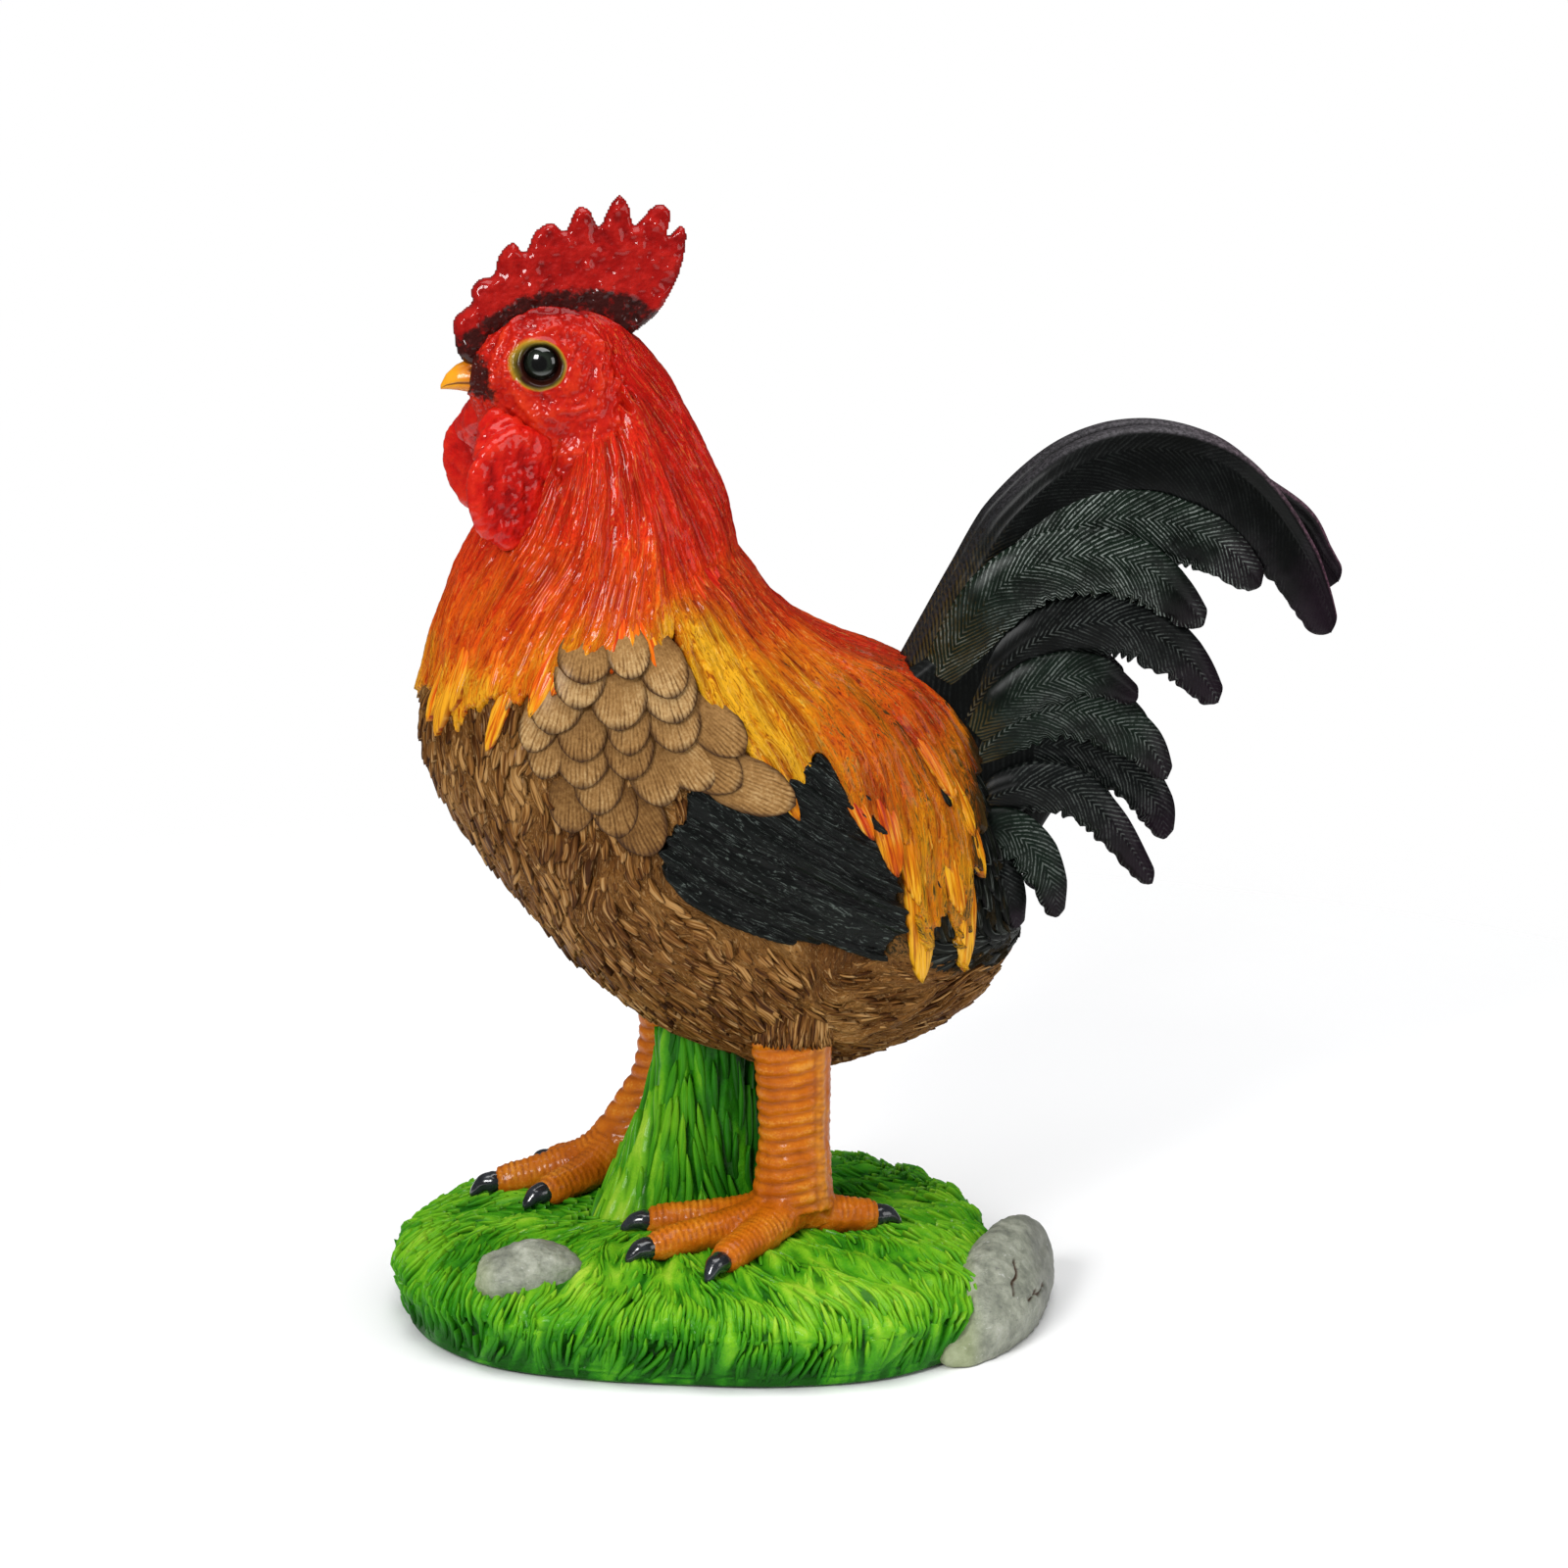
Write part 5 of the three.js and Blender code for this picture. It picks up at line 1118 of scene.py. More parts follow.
# Rump.
# Small dark feathers under the tail, brown fading into black towards the tail's root.
def on_rump(p):
    return (p[:, 0] > 70) & (p[:, 2] > 124 - 0.2 * (p[:, 0] - 85))


SOOT = [(0.0, (0.003, 0.004, 0.003)), (0.4, (0.012, 0.014, 0.007)), (0.75, (0.04, 0.03, 0.01)), (1.0, (0.16, 0.08, 0.03))]
soot = feather_paint("sooty_rump", SOOT, (0.002, 0.002, 0.002), (-0.2, 0.3), 0.6, 0.1, ((0.2, 0.22, 0.2), 0.4))
rump = coat(on_rump, 8, 3.2, 420, 16, 2.6, ragged, (-0.6, 1.9, 0.4, 0.6), 96, cols=5, steps=7, ribs=0.3)
laid("rump_feathers", rump, soot, "body_shell", 0.3 - 0.2 * blackened(rump["points"]))

# Wings.
# Each wing has a fan of long black quills under rounded tan scale feathers. The quills are
# streaked with grey-green; the scales have fine barb lines, dark rims that are painted shadow,
# and painted shade at their roots under the scale above.
WING_BLACK = [(0.0, (0.001, 0.002, 0.0015)), (0.45, (0.004, 0.006, 0.005)), (0.75, (0.015, 0.019, 0.017)), (1.0, (0.08, 0.1, 0.085))]


def quill_way(points):
    lean = -0.58 - 0.1 * (points[..., 2] - 165) / 20 + 0.06 * lumps(points, 14, 83, 1)
    return np.stack([np.ones(lean.shape), 0 * lean, lean], axis=-1)


def wing_heat(points):
    return 0.25 + 0.2 * lumps(points, 20, 97)


wing_black = cape_paint("black_quills", WING_BLACK, (0.001, 0.001, 0.001), 2.2, 0.1, ((0.15, 0.18, 0.16), 0.6), 0.14)
for side_name, turn in (("left", np.pi), ("right", 0)):
    combed_skin(side_name + "_quill_feathers", side_name + "_wing_quills", wing_black,
                (turn + 0.5, turn + 2.4, 260, 10.5, 20, 300), quill_way, WING, thick=2.5, sink=1.6, ragged=0.9, hard=1.6,
                relief=(0.4, 0.34), sizes=(3.0, 0.8), reach=(26, 20), heat=wing_heat, seed=98, edge_wash=2.5)


def wing_layer(rows, outline, rise, steps, cols, **more):
    """Feathers given one by one: tip x, z, the way it points, half width, length and lift."""
    layers = []
    for x, z, dx, dz, half, length, lift in rows:
        way = unit(np.array([dx, 0.0, dz]))
        root = np.array([x, -70.0, z]) - way * length
        place = bird_skin.tree.ray_cast((root[0], -120.0, root[2]), (0, 1, 0))[0]
        start = np.array([place[:]]) if place is not None else bird_skin.onto(root[None])[0]

        def straight(points, way=way):
            return np.broadcast_to(way, points.shape)

        layers.append(strips(bird_skin, start, straight, [length * 1.04], [half], outline,
                             (rise[0] + 0.3 * lift, rise[1] + lift, rise[2], rise[3]), steps=steps, cols=cols, sink=-1.5, wide=True,
                             **more))
    return together(*layers)


COVERTS = [
    (-48, 187, 0, -1, 8, 20, -0.9), (-32, 186, 0.19, -0.98, 8, 22, -0.6), (-21, 180, 0.43, -0.9, 9.5, 26, -0.4), (-39, 194, 0, -1, 8.5, 22, -0.3),
    (-57, 206, -0.19, -0.98, 7, 20, 0.0), (-17, 197, 0.32, -0.95, 9, 24, 0.2), (-44, 203, 0, -1, 9, 22, 0.3), (25, 195, 0.91, -0.42, 9, 34, 1.8),
    (-3, 202, 0.6, -0.8, 8.5, 24, 0.5), (-28, 206, 0.1, -1, 8.5, 22, 0.7), (7, 202, 0.82, -0.57, 9, 28, 0.9), (-61, 215, -0.36, -0.93, 6.5, 18, 0.5),
    (-44, 212, 0, -1, 8.5, 20, 0.9), (-12, 214, 0.23, -0.97, 9, 22, 1.1), (-29, 214, 0, -1, 7.5, 20, 1.2), (8, 212, 0.69, -0.72, 8, 24, 1.3),
    (-54, 221, -0.23, -0.97, 9, 20, 1.1), (-14, 223, 0.19, -0.98, 9.5, 22, 1.6), (-32, 222, 0, -1, 9.5, 22, 1.7), (-45, 229, -0.1, -1, 8.5, 20, 1.7),
    (-15, 231, 0.28, -0.96, 8, 20, 2.0), (-43, 237, -0.1, -1, 9, 16, 2.1), (-28, 238, 0.1, -1, 7, 16, 2.2)]
scale_shape = ([0, 0.3, 0.56, 0.73, 0.86, 0.945, 0.985, 1], [0.75, 1, 1, 0.89, 0.67, 0.4, 0.2, 0.05])
TAN = [(0.0, (0.06, 0.025, 0.007)), (0.35, (0.17, 0.078, 0.02)), (0.65, (0.32, 0.17, 0.055)), (1.0, (0.58, 0.38, 0.17))]


def scale_paint():
    paint = Paint("tan_covert", Coat_Weight=0.12, Coat_Roughness=0.2, Specular_IOR_Level=0.08)
    lie, (along, across, fate) = paint.vector("lie")
    marks, (edge, heat, s) = paint.vector("marks")
    where = paint.place()
    fan = across * (1.6 - s * 0.8)
    barb = (fan + (paint.noise(where, 220, 2, 0.5) - 0.5) * 0.0012) * (2 * np.pi / 0.00135)
    barb = barb.maths("SINE", barb) * 0.2 + 0.5 + (paint.noise(lie, 1, 2, 0.5, (120, 1500, 30)) - 0.5) * 0.9
    grain = paint.noise(where, 700, 3, 0.65)
    patch = paint.noise(where, 50, 3, 0.6)
    # Painted shade: each scale darker at its root, under the scale above, and lighter at its tip.
    value = heat + (s - 0.6) * 0.35 + (barb - 0.5) * 0.5 * s + (grain - 0.5) * 0.7 + (patch - 0.5) * 0.6 + (fate - 0.5) * 0.25
    colour = paint.ramp(value, *TAN)
    # Painted shadow: dark rims, heavier towards each scale's lower end, besides the dark barb grooves.
    dark = (1 - edge.step(-0.05, 0.3)) * (s.step(0.3, 0.7) * 0.6 + 0.38) + (1 - barb.step(0.2, 0.42)) * s.step(0.3, 0.8) * 0.45
    colour = paint.mix(dark.maths("MINIMUM", dark, 0.93), colour, (0.045, 0.016, 0.005))
    relief = barb * s * 0.7 + grain * 1.0
    return paint.finish(Base_Color=colour, Roughness=0.4 + grain * 0.2, Normal=paint.bump(relief, 0.0009, 0.8))


tan = scale_paint()
coverts = wing_layer(COVERTS, scale_shape, (0.6, 3.4, 0.3, 0.1), 18, 13)
heat = 0.55 - 0.25 * ease(200, 175, coverts["points"][:, 2]) + 0.1 * ease(215, 235, coverts["points"][:, 2])
for side_name, turn in (("left", lambda layer: layer), ("right", mirrored)):
    laid(side_name + "_covert_feathers", turn(coverts), tan, side_name + "_wing_coverts", heat)

# Saddle cape.
# Long pointed feathers that fall from the ridge of the back over the wings, red at the ridge
# and yellow at their tips, grooved along their length and varnished.
fire_skin = cape_paint("fiery_neck", FIRE, (0.26, 0.008, 0.002), 0.9, 0.28, ((0.95, 0.5, 0.12), 0.2))
fire = feather_paint("fiery_fringe", FIRE, (0.22, 0.02, 0.002), (-0.3, 0.25), 1.1, 0.28, ((0.95, 0.6, 0.12), 0.25), 0.0009)
ember_skin = cape_paint("ember_cape", EMBER, (0.1, 0.02, 0.003), 1.35, 0.24, ((0.9, 0.55, 0.15), 0.3))
ember = feather_paint("ember_plumage", EMBER, (0.1, 0.02, 0.002), (-0.45, 0.15), 1.4, 0.24, ((0.9, 0.6, 0.15), 0.3), 0.0009)


def warmth(points):
    value = guided(points)[..., 2]
    ridge = ease(18, 3, np.abs(points[..., 1])) * ease(205, 222, points[..., 2]) * ease(-60, -30, points[..., 0])
    shoulder = ease(44, 24, np.abs(points[..., 1])) * ease(228, 262, points[..., 2]) * ease(-30, -8, points[..., 0])
    return value * (1 - 0.8 * ridge) * (1 - 0.45 * shoulder)


def hackle_warmth(points):
    """The hackle turns orange where it flows over the back."""
    return warmth(points) + 0.36 * ease(20, 0, depth_in(points, HACKLE)) * ease(-30, -12, points[..., 0])


def rear_edge(points):
    """1 along the saddle's rear edge and the root of the tail, where orange fades to olive-black."""
    back = np.interp(points[:, 2], [118, 150, 180, 205, 222, 231, 245], [94, 98, 99, 97, 92, 86, 76])
    dusk = 0.33 * ease(18, 44, points[:, 0]) * ease(246, 228, points[:, 2])
    return dusk + 0.6 * ease(-13, 1, points[:, 0] - back) * ease(128, 150, points[:, 2])


def beneath_hackle(points):
    """How far the saddle dips where the hackle flows over its front edge."""
    return 2.8 * ease(-3, 12, depth_in(points, HACKLE))


combed_skin("saddle_cape_skin", "saddle_cape", ember_skin, (-2.5, 2.5, 480, 9.3, 21.5, 330), plume, SADDLE,
            thick=2.4, sink=2.0, ragged=1.3, hard=1.5, relief=(0.42, 0.42), sizes=(3.6, 0.9), reach=(26, 16), heat=warmth, locks=1.4,
            seed=103, lower=beneath_hackle, soot=rear_edge)
lancet = ([0, 0.15, 0.5, 0.8, 0.93, 1], [0.4, 0.8, 1, 0.72, 0.4, 0.05])
HANGING = [(61, 167, 0.2, -0.98, 5.5, 38, 0.8), (52, 180, 0.4, -0.92, 4, 36, 0.6), (26, 189, 0.45, -0.9, 3.8, 36, 0.6),
           (75, 127, 0.12, -0.99, 5.5, 48, 0.6), (90, 128, 0.05, -1, 5, 44, 0.5), (86, 150, 0.2, -0.98, 5.5, 40, 1.1), (70, 156, 0.15, -1, 5, 36, 0.6),
           (88, 174, 0.3, -0.95, 5, 38, 0.4), (79, 186, 0.35, -0.94, 5.5, 38, 0.2),
           (72, 172, 0.25, -0.97, 5, 38, 0.5), (84, 206, 0.4, -0.9, 5, 36, 0.2), (46, 196, 0.4, -0.92, 4.5, 32, 0.4),
           (94, 160, 0.25, -0.97, 4.5, 34, 0.3)]
tips = wing_layer(HANGING, lancet, (-0.6, 2.9, 0.7, 0.0), 20, 9, ribs=0.5)
tips = together(tips, mirrored(tips))
laid("saddle_feathers", tips, ember, "saddle_cape", warmth(tips["points"]) + 0.12 * (tips["s"] - 0.4))

# Neck hackle.
# Flowing strands from behind the face down to a pointed fringe on the breast, varnished, red
# above and orange to yellow at the fringe.
def face_depth(points):
    """Less than 0 on the bare face, and growing away from it."""
    return (np.hypot((points[..., 0] + 57) / 25, (points[..., 2] - 338) / 26) - 1) * 25 + 2.2 * lumps(points, 9, 118, 2)


def behind_face(points):
    """The hackle's edge, with its strands breaking up over the bare skin."""
    return 0.45 * face_depth(points)


def thinner(points):
    """How much thinner the hackle is where it grows out of the face."""
    nape = ease(12, 0, depth_in(points, HACKLE)) * ease(-26, -8, points[:, 0])
    return 2.3 * ease(17, -1, face_depth(points)) + 1.4 * nape


combed_skin("hackle_skin", ("hackle_cape", "head"), fire_skin, (0, 2 * np.pi, 500, 4.2, 12.5, 380), plume, HACKLE,
            thick=1.7, sink=2.4, ragged=2.2, hard=2.0, relief=(0.42, 0.42), sizes=(3.6, 0.9), reach=(26, 16), heat=hackle_warmth, locks=1.2,
            seed=113, edge_wash=1.4, limit=behind_face, lower=thinner)
FRINGE = [(-84, 215, -0.08, -1, 4.2, 34, 0.0), (-89, 219, -0.2, -0.98, 3.6, 30, 0.0), (-77, 224, 0.05, -1, 3.4, 28, 0.1),
          (-69, 230, -0.1, -1, 3.4, 28, 0.0), (-59, 226, -0.36, -0.93, 4.2, 32, 0.1), (-52, 233, -0.4, -0.92, 3.6, 28, 0.0),
          (-43, 240, -0.3, -0.95, 3.4, 26, 0.0), (-34, 240, -0.15, -1, 3.4, 26, 0.0), (-27, 240, 0.05, -1, 3.2, 26, 0.0),
          (-20, 235, 0.2, -0.98, 3.6, 28, 0.0), (-94, 226, -0.3, -0.95, 3.0, 26, 0.0),
          (-8, 247, 0.3, -0.95, 3.4, 30, -1.2), (1, 252, 0.35, -0.94, 3.6, 32, -1.2), (10, 256, 0.4, -0.92, 3.4, 30, -1.2),
          (19, 259, 0.45, -0.89, 3.6, 32, -1.2), (28, 265, 0.55, -0.84, 3.2, 28, -1.2), (34, 270, 0.65, -0.76, 3.0, 26, -1.2)]
fringe = wing_layer(FRINGE, lancet, (-0.8, 3.6, 0.8, 0.0), 20, 9, ribs=0.35)
fringe = together(fringe, mirrored(fringe))
laid("hackle_fringe", fringe, fire, "hackle_cape", warmth(fringe["points"]) + 0.15 * (fringe["s"] - 0.3))

# Head.
# The face is one casting with the skull: bare red skin with wrinkles that run round the eye,
# an olive-yellow ring about the eye, a brow, and a dark wash in front towards the beak.
EYE = np.array([-54, 0, 341.0])
head_rings = bird_rings((0, 2 * np.pi), 420, 0, 9.4, 300)
head_points, head_faces = tube(head_rings)
side = np.sign(head_points[:, 1] + 1e-9)
reach = np.hypot(head_points[:, 0] - EYE[0], head_points[:, 2] - EYE[2])
round_eye = np.arctan2(head_points[:, 2] - EYE[2], head_points[:, 0] - EYE[0])
centre = head_points.mean(axis=0)
normal = np.zeros_like(head_points)
quads = head_faces[0]
cross = np.cross(head_points[quads[:, 1]] - head_points[quads[:, 0]], head_points[quads[:, 3]] - head_points[quads[:, 0]])
for k in range(4):
    np.add.at(normal, quads[:, k], cross)
normal = unit(normal)
lid = 0.75 * np.exp(-((reach - 7.4) / 1.1) ** 2) + 0.35 * np.exp(-((reach - 10) / 0.6) ** 2)
socket = -3.2 * ease(6.9, 5.9, reach)
brow = 1.4 * np.exp(-((reach - 12.5) / 3.2) ** 2) * ease(0.2, 1.2, round_eye) * ease(2.9, 2.2, round_eye)
cheek = 1.5 * np.exp(-(((head_points[:, 0] + 47) / 12) ** 2 + ((head_points[:, 2] - 322) / 7) ** 2))


def round_the_eye(points):
    away = unit((points - EYE) * [1, 0, 1] + [1e-3, 0, 0])
    return np.stack([-away[..., 2] + 0.9 * lumps(points, 11, 124), 0 * away[..., 0], away[..., 0] - 0.5], axis=-1)


crease = combed(head_rings, ring_normals(head_rings, True), round_the_eye, 2.2, 6, 121)
crease = np.append(crease.ravel(), [0, 0])
pebble = lumps(head_points, 1.2, 123, 2)
bare = ease(8, 11, reach)
under = -1.6 * ease(4, 10, face_depth(head_points))
head_points = head_points + normal * (lid + socket + brow + cheek + bare * (0.45 * crease + 0.3 * pebble) + under)[:, None]
rim = np.hypot((head_points[:, 0] - EYE[0] + 0.8) / 1.12, head_points[:, 2] - EYE[2] + 0.4)
shade = ease(0.9, 2.2, round_eye) * ease(3.3, 2.9, np.abs(round_eye))
shade = np.where(round_eye < -2.6, 0.6, shade)
head_marks = np.stack([
    np.clip((8.8 + 1.7 * shade + 0.5 * lumps(head_points, 5, 125) - rim) / (2.4 + 3.2 * shade), 0, 1) * (np.abs(head_points[:, 1]) > 8),
    ease(-66, -74, head_points[:, 0] + 0.3 * (head_points[:, 2] - 335)) * ease(322, 332, head_points[:, 2])
    + 0.55 * ease(354, 359, head_points[:, 2] + 0.05 * head_points[:, 0]) * ease(-26, -36, head_points[:, 0]),
    0.5 + 0.13 * crease + 0.2 * pebble - 0.5 * ease(349, 359, head_points[:, 2])], axis=-1)
paint = Paint("red_face", Coat_Weight=0.45, Coat_Roughness=0.09, Specular_IOR_Level=0.06)
marks, (ring, wash, relief) = paint.vector("marks")
where = paint.place()
patch = paint.noise(where, 120, 4, 0.65)
fine = paint.noise(where, 1100, 3, 0.6)
red = paint.ramp(patch * 0.45 + relief * 0.6, (0.2, (0.22, 0.002, 0.002)), (0.5, (0.46, 0.009, 0.003)), (0.85, (0.66, 0.04, 0.008)))
olive = paint.ramp(ring + (patch - 0.5) * 0.3, (0.12, (0.5, 0.1, 0.008)), (0.36, (0.36, 0.2, 0.012)), (0.55, (0.15, 0.12, 0.01)),
                   (0.75, (0.035, 0.04, 0.006)), (0.95, (0.004, 0.005, 0.003)))
red = paint.mix((ring + (fine - 0.5) * 0.2 + (patch - 0.5) * 0.2).step(0.08, 0.35) * 0.95, red, olive)
mottle = paint.noise(where, 520, 3, 0.6)
red = paint.mix((wash + (patch - 0.5) * 1.1 + (mottle - 0.5) * 1.4).step(0.35, 0.95) * 0.93, red, (0.016, 0.005, 0.004))
face = paint.finish(Base_Color=red, Roughness=0.34 + fine * 0.2, Normal=paint.bump(patch * 0.5 + fine * 0.4, 0.0008, 0.75))
piece("head_skin", head_points, head_faces, face, ("head", "hackle_cape"), marks=head_marks)

# Eyes.
# Glossy cabochons: a black pupil, a grey-green iris that fades outwards into black.
paint = Paint("eye_gloss", Coat_Weight=1.0, Coat_Roughness=0.02, Roughness=0.12)
marks, (reach, wash, relief) = paint.vector("marks")
fleck = paint.noise(paint.place(), 1500, 3, 0.6)
iris = paint.ramp(reach + (fleck - 0.5) * 0.12, (0.0, (0.002, 0.002, 0.002)), (0.4, (0.002, 0.002, 0.002)),
                  (0.52, (0.013, 0.018, 0.012)), (0.66, (0.009, 0.013, 0.008)), (0.82, (0.002, 0.003, 0.002)),
                  (1.0, (0.003, 0.003, 0.002)))
eye_paint = paint.finish(Base_Color=iris)
for side_name, side in (("left", -1), ("right", 1)):
    axis = unit(np.array([-0.22, side, 0.1]))
    flat = unit(np.cross(axis, [0, 0, 1.0]))
    rise = np.cross(flat, axis)
    tilt = np.linspace(0.03, np.pi / 2, 24)[:, None]
    turn = np.linspace(0, 2 * np.pi, 48, endpoint=False)
    radius, bulge = 6.0 * np.sin(tilt), 3.4 * np.cos(tilt)
    dome = np.array([EYE[0], side * 15.6, EYE[2]]) + axis * bulge[..., None] \
        + (flat * np.cos(turn)[:, None] + rise * np.sin(turn)[:, None]) * radius[..., None]
    dome = np.concatenate([dome, dome[-1:] - axis * 3])
    points, faces = tube(dome)
    marks = np.zeros((len(points), 3))
    marks[:-2, 0] = np.repeat(np.append(np.sin(tilt[:, 0]), 1), 48)
    piece(side_name + "_eye_cabochon", points, faces, eye_paint, side_name + "_eye", marks=marks)

# Beak.
# Short and hooked, horn yellow at the tip and dark at its root, with the line of the mouth
# and a nostril pressed in.
BEAK = np.array([[-66, 334, 8.0, 7.0], [-71, 334.3, 7.0, 6.1], [-76, 334.4, 5.9, 5.1], [-81, 333.8, 4.3, 3.8],
                 [-84.5, 332.4, 2.6, 2.2], [-86.4, 330.6, 0.8, 0.7]])
t = np.linspace(0, 5, 60)
x, z, tall, wide = (np.interp(t, range(6), BEAK[:, k])[:, None] for k in range(4))
angle = np.linspace(0, 2 * np.pi, 64, endpoint=False)
mouth = np.exp(-((angle - np.pi - 0.35) / 0.10) ** 2) + np.exp(-((angle - 2 * np.pi + 0.35) / 0.10) ** 2)
nostril = np.exp(-(((angle - np.pi + 0.5) / 0.16) ** 2 + ((x + 76) / 1.5) ** 2)) + np.exp(-(((angle - 0.5) / 0.16) ** 2 + ((x + 76) / 1.5) ** 2))
press = 1 - 0.13 * mouth * ease(-64, -70, x) - 0.2 * nostril
beak_rings = np.stack([np.repeat(x, 64, axis=1), wide * (1 - 0.22 * np.sin(angle)) * np.cos(angle) * press,
                       z + tall * np.sin(angle) * press], axis=-1)
points, faces = tube(beak_rings)
marks = np.zeros((len(points), 3))
marks[:-2, 0] = np.repeat(ease(-83, -70, x), 64) * (0.75 + 0.35 * np.tile(np.sin(angle), 60))
marks[:-2, 1] = np.clip(mouth * ease(-64, -70, x) + nostril, 0, 1).ravel()
paint = Paint("horn_beak", Coat_Weight=0.4, Coat_Roughness=0.12, Roughness=0.35, Specular_IOR_Level=0.2)
carried, (root, dark, relief) = paint.vector("marks")
streak = paint.noise(paint.place(), 300, 4, 0.6, (0.4, 1, 1))
colour = paint.ramp(root + (streak - 0.5) * 0.5, (0.0, (0.8, 0.33, 0.008)), (0.35, (0.72, 0.2, 0.005)), (0.62, (0.32, 0.06, 0.006)),
                    (0.9, (0.03, 0.008, 0.005)))
beak_paint = paint.finish(Base_Color=paint.mix(dark.step(0.2, 0.9) * 0.9, colour, (0.1, 0.02, 0.005)), Normal=paint.bump(streak, 0.0005, 0.6))
piece("beak_horn", points, faces, beak_paint, "beak", marks=marks)

# Comb and wattles.
# The comb is a thick serrated plate with rounded rims and pebbled sides, and the wattles are
# two hanging lobes with a rolled rim. Deep red gloss, with a black-brown wash at the comb's
# root; the wattles have painted shade at their tops under the throat and in their dished
# middles, and a painted highlight on their rolled rims.
COMB = [(-21.5, 347), (-13, 353.5), (-7.3, 362), (-4, 370), (-2.3, 380.5), (-4.4, 383.8), (-8.6, 380.8), (-7.6, 388), (-10, 391.2),
        (-14, 390.4), (-20, 384.6), (-21.7, 391), (-24.9, 394.9), (-28.6, 391), (-32, 384.6), (-35.4, 390.2), (-39.9, 390.4),
        (-43.6, 383.2), (-48.3, 386), (-53.9, 382.8), (-57.2, 376.3), (-61.4, 379.6), (-66.2, 375), (-68.1, 368.6), (-73.2, 367),
        (-75.8, 363.3), (-75.8, 359), (-81.4, 354), (-81.6, 347.6), (-80, 341), (-75, 338), (-64, 342), (-45, 347)]


def plate(outline, pitch, thick_low, thick_high, rim):
    """A pillow over a side-view outline: thick in the middle, rounded at its edge."""
    line, _ = curve([(x, 0, z) for x, z in outline + outline[:1]], 420)
    low_x, high_x = line[:, 0].min() - 1, line[:, 0].max() + 1
    low_z, high_z = line[:, 2].min() - 1, line[:, 2].max() + 1
    xs, zs = np.arange(low_x, high_x, pitch), np.arange(low_z, high_z, pitch)
    grid = np.stack(np.meshgrid(xs, zs, indexing="ij"), axis=-1)
    spots = np.stack([grid[..., 0], np.zeros(grid.shape[:2]), grid[..., 1]], axis=-1)
    inside = within(spots, [(p[0], p[2]) for p in line])
    gap = np.sqrt(((spots[:, :, None, [0, 2]] - line[None, None, :, [0, 2]]) ** 2).sum(axis=-1)).min(axis=-1)
    share = np.clip((grid[..., 1] - low_z) / (high_z - low_z), 0, 1)
    thick = (thick_low + (thick_high - thick_low) * share) / 2
    return spots, inside, gap, thick * np.sqrt(np.clip(1 - (1 - np.clip(gap / rim, 0, 1)) ** 2, 0, 1))


def pillow(name, spots, inside, gap, height, relief, fit=None):
    """One face of a plate: its points, quads, heights and gaps to the rim."""
    line = np.argwhere(inside)
    number = -np.ones(inside.shape, int)
    number[inside] = np.arange(len(line))
    cells = inside[:-1, :-1] & inside[1:, :-1] & inside[1:, 1:] & inside[:-1, 1:]
    quads = np.stack([number[:-1, :-1], number[1:, :-1], number[1:, 1:], number[:-1, 1:]], axis=-1)[cells]
    flat = spots[inside]
    return flat, quads, height[inside] + relief[inside], gap[inside]


spots, inside, gap, height = plate(COMB, 0.62, 11, 5.0, 3.4)
mesh_points, mesh_quads, mesh_height, mesh_gap = pillow("comb", spots, inside, gap, height, np.zeros(gap.shape))
rough = lumps(mesh_points, (2.6, 2.6, 2.6), 131, 3) * 0.6 + lumps(mesh_points, (7, 7, 7), 132) * 0.5
mesh_height = mesh_height + rough * ease(0.2, 2.5, mesh_gap)
front = mesh_points + np.stack([np.zeros_like(mesh_height), -mesh_height, np.zeros_like(mesh_height)], axis=-1)
back = mesh_points + np.stack([np.zeros_like(mesh_height), mesh_height, np.zeros_like(mesh_height)], axis=-1)
count = len(front)
uses = {}
for a, b in np.concatenate([mesh_quads[:, [k, (k + 1) % 4]] for k in range(4)]).tolist():
    uses[(a, b)] = 1
rim_edges = np.array([(a, b) for a, b in uses if (b, a) not in uses])
rim = np.stack([rim_edges[:, 1], rim_edges[:, 0], rim_edges[:, 0] + count, rim_edges[:, 1] + count], axis=-1)
comb_points = np.concatenate([front, back])
comb_faces = np.concatenate([mesh_quads, mesh_quads[:, ::-1] + count, rim])
comb_marks = np.zeros((len(comb_points), 3))
base_line = np.interp(comb_points[:, 0], [-80, -74, -68, -59, -47, -30, -19, -10], [347, 351, 355, 360, 362, 362, 358, 352])
comb_marks[:, 1] = ease(4.2, -0.5, comb_points[:, 2] - base_line)
comb_marks[:, 2] = 0.5 + 0.45 * np.tile(rough, 2)


def flesh_paint(name, *reds):
    """Glossy pebbled red with a mottled black-brown darkening where it is marked: a wash on the comb, painted shade on
    the wattles.
    """
    paint = Paint(name, Coat_Weight=0.6, Coat_Roughness=0.07, Specular_IOR_Level=0.06)
    marks, (ring, wash, relief) = paint.vector("marks")
    where = paint.place()
    patch = paint.noise(where, 160, 5, 0.65)
    mottle = paint.noise(where, 520, 3, 0.6)
    pebble = paint.node("TexVoronoi", {"feature": "SMOOTH_F1"}, {"Vector": where, "Scale": 700.0})
    red = paint.ramp(relief * 0.7 + patch * 0.4, *reds)
    red = paint.mix((wash + (patch - 0.5) * 1.3 + (mottle - 0.5) * 1.6).step(0.25, 1.0) * 0.93, red, (0.014, 0.005, 0.004))
    grain = patch * 0.8 + (1 - pebble) * 0.6
    return paint.finish(Base_Color=red, Roughness=0.36 + patch * 0.2, Normal=paint.bump(grain, 0.0009, 0.9))


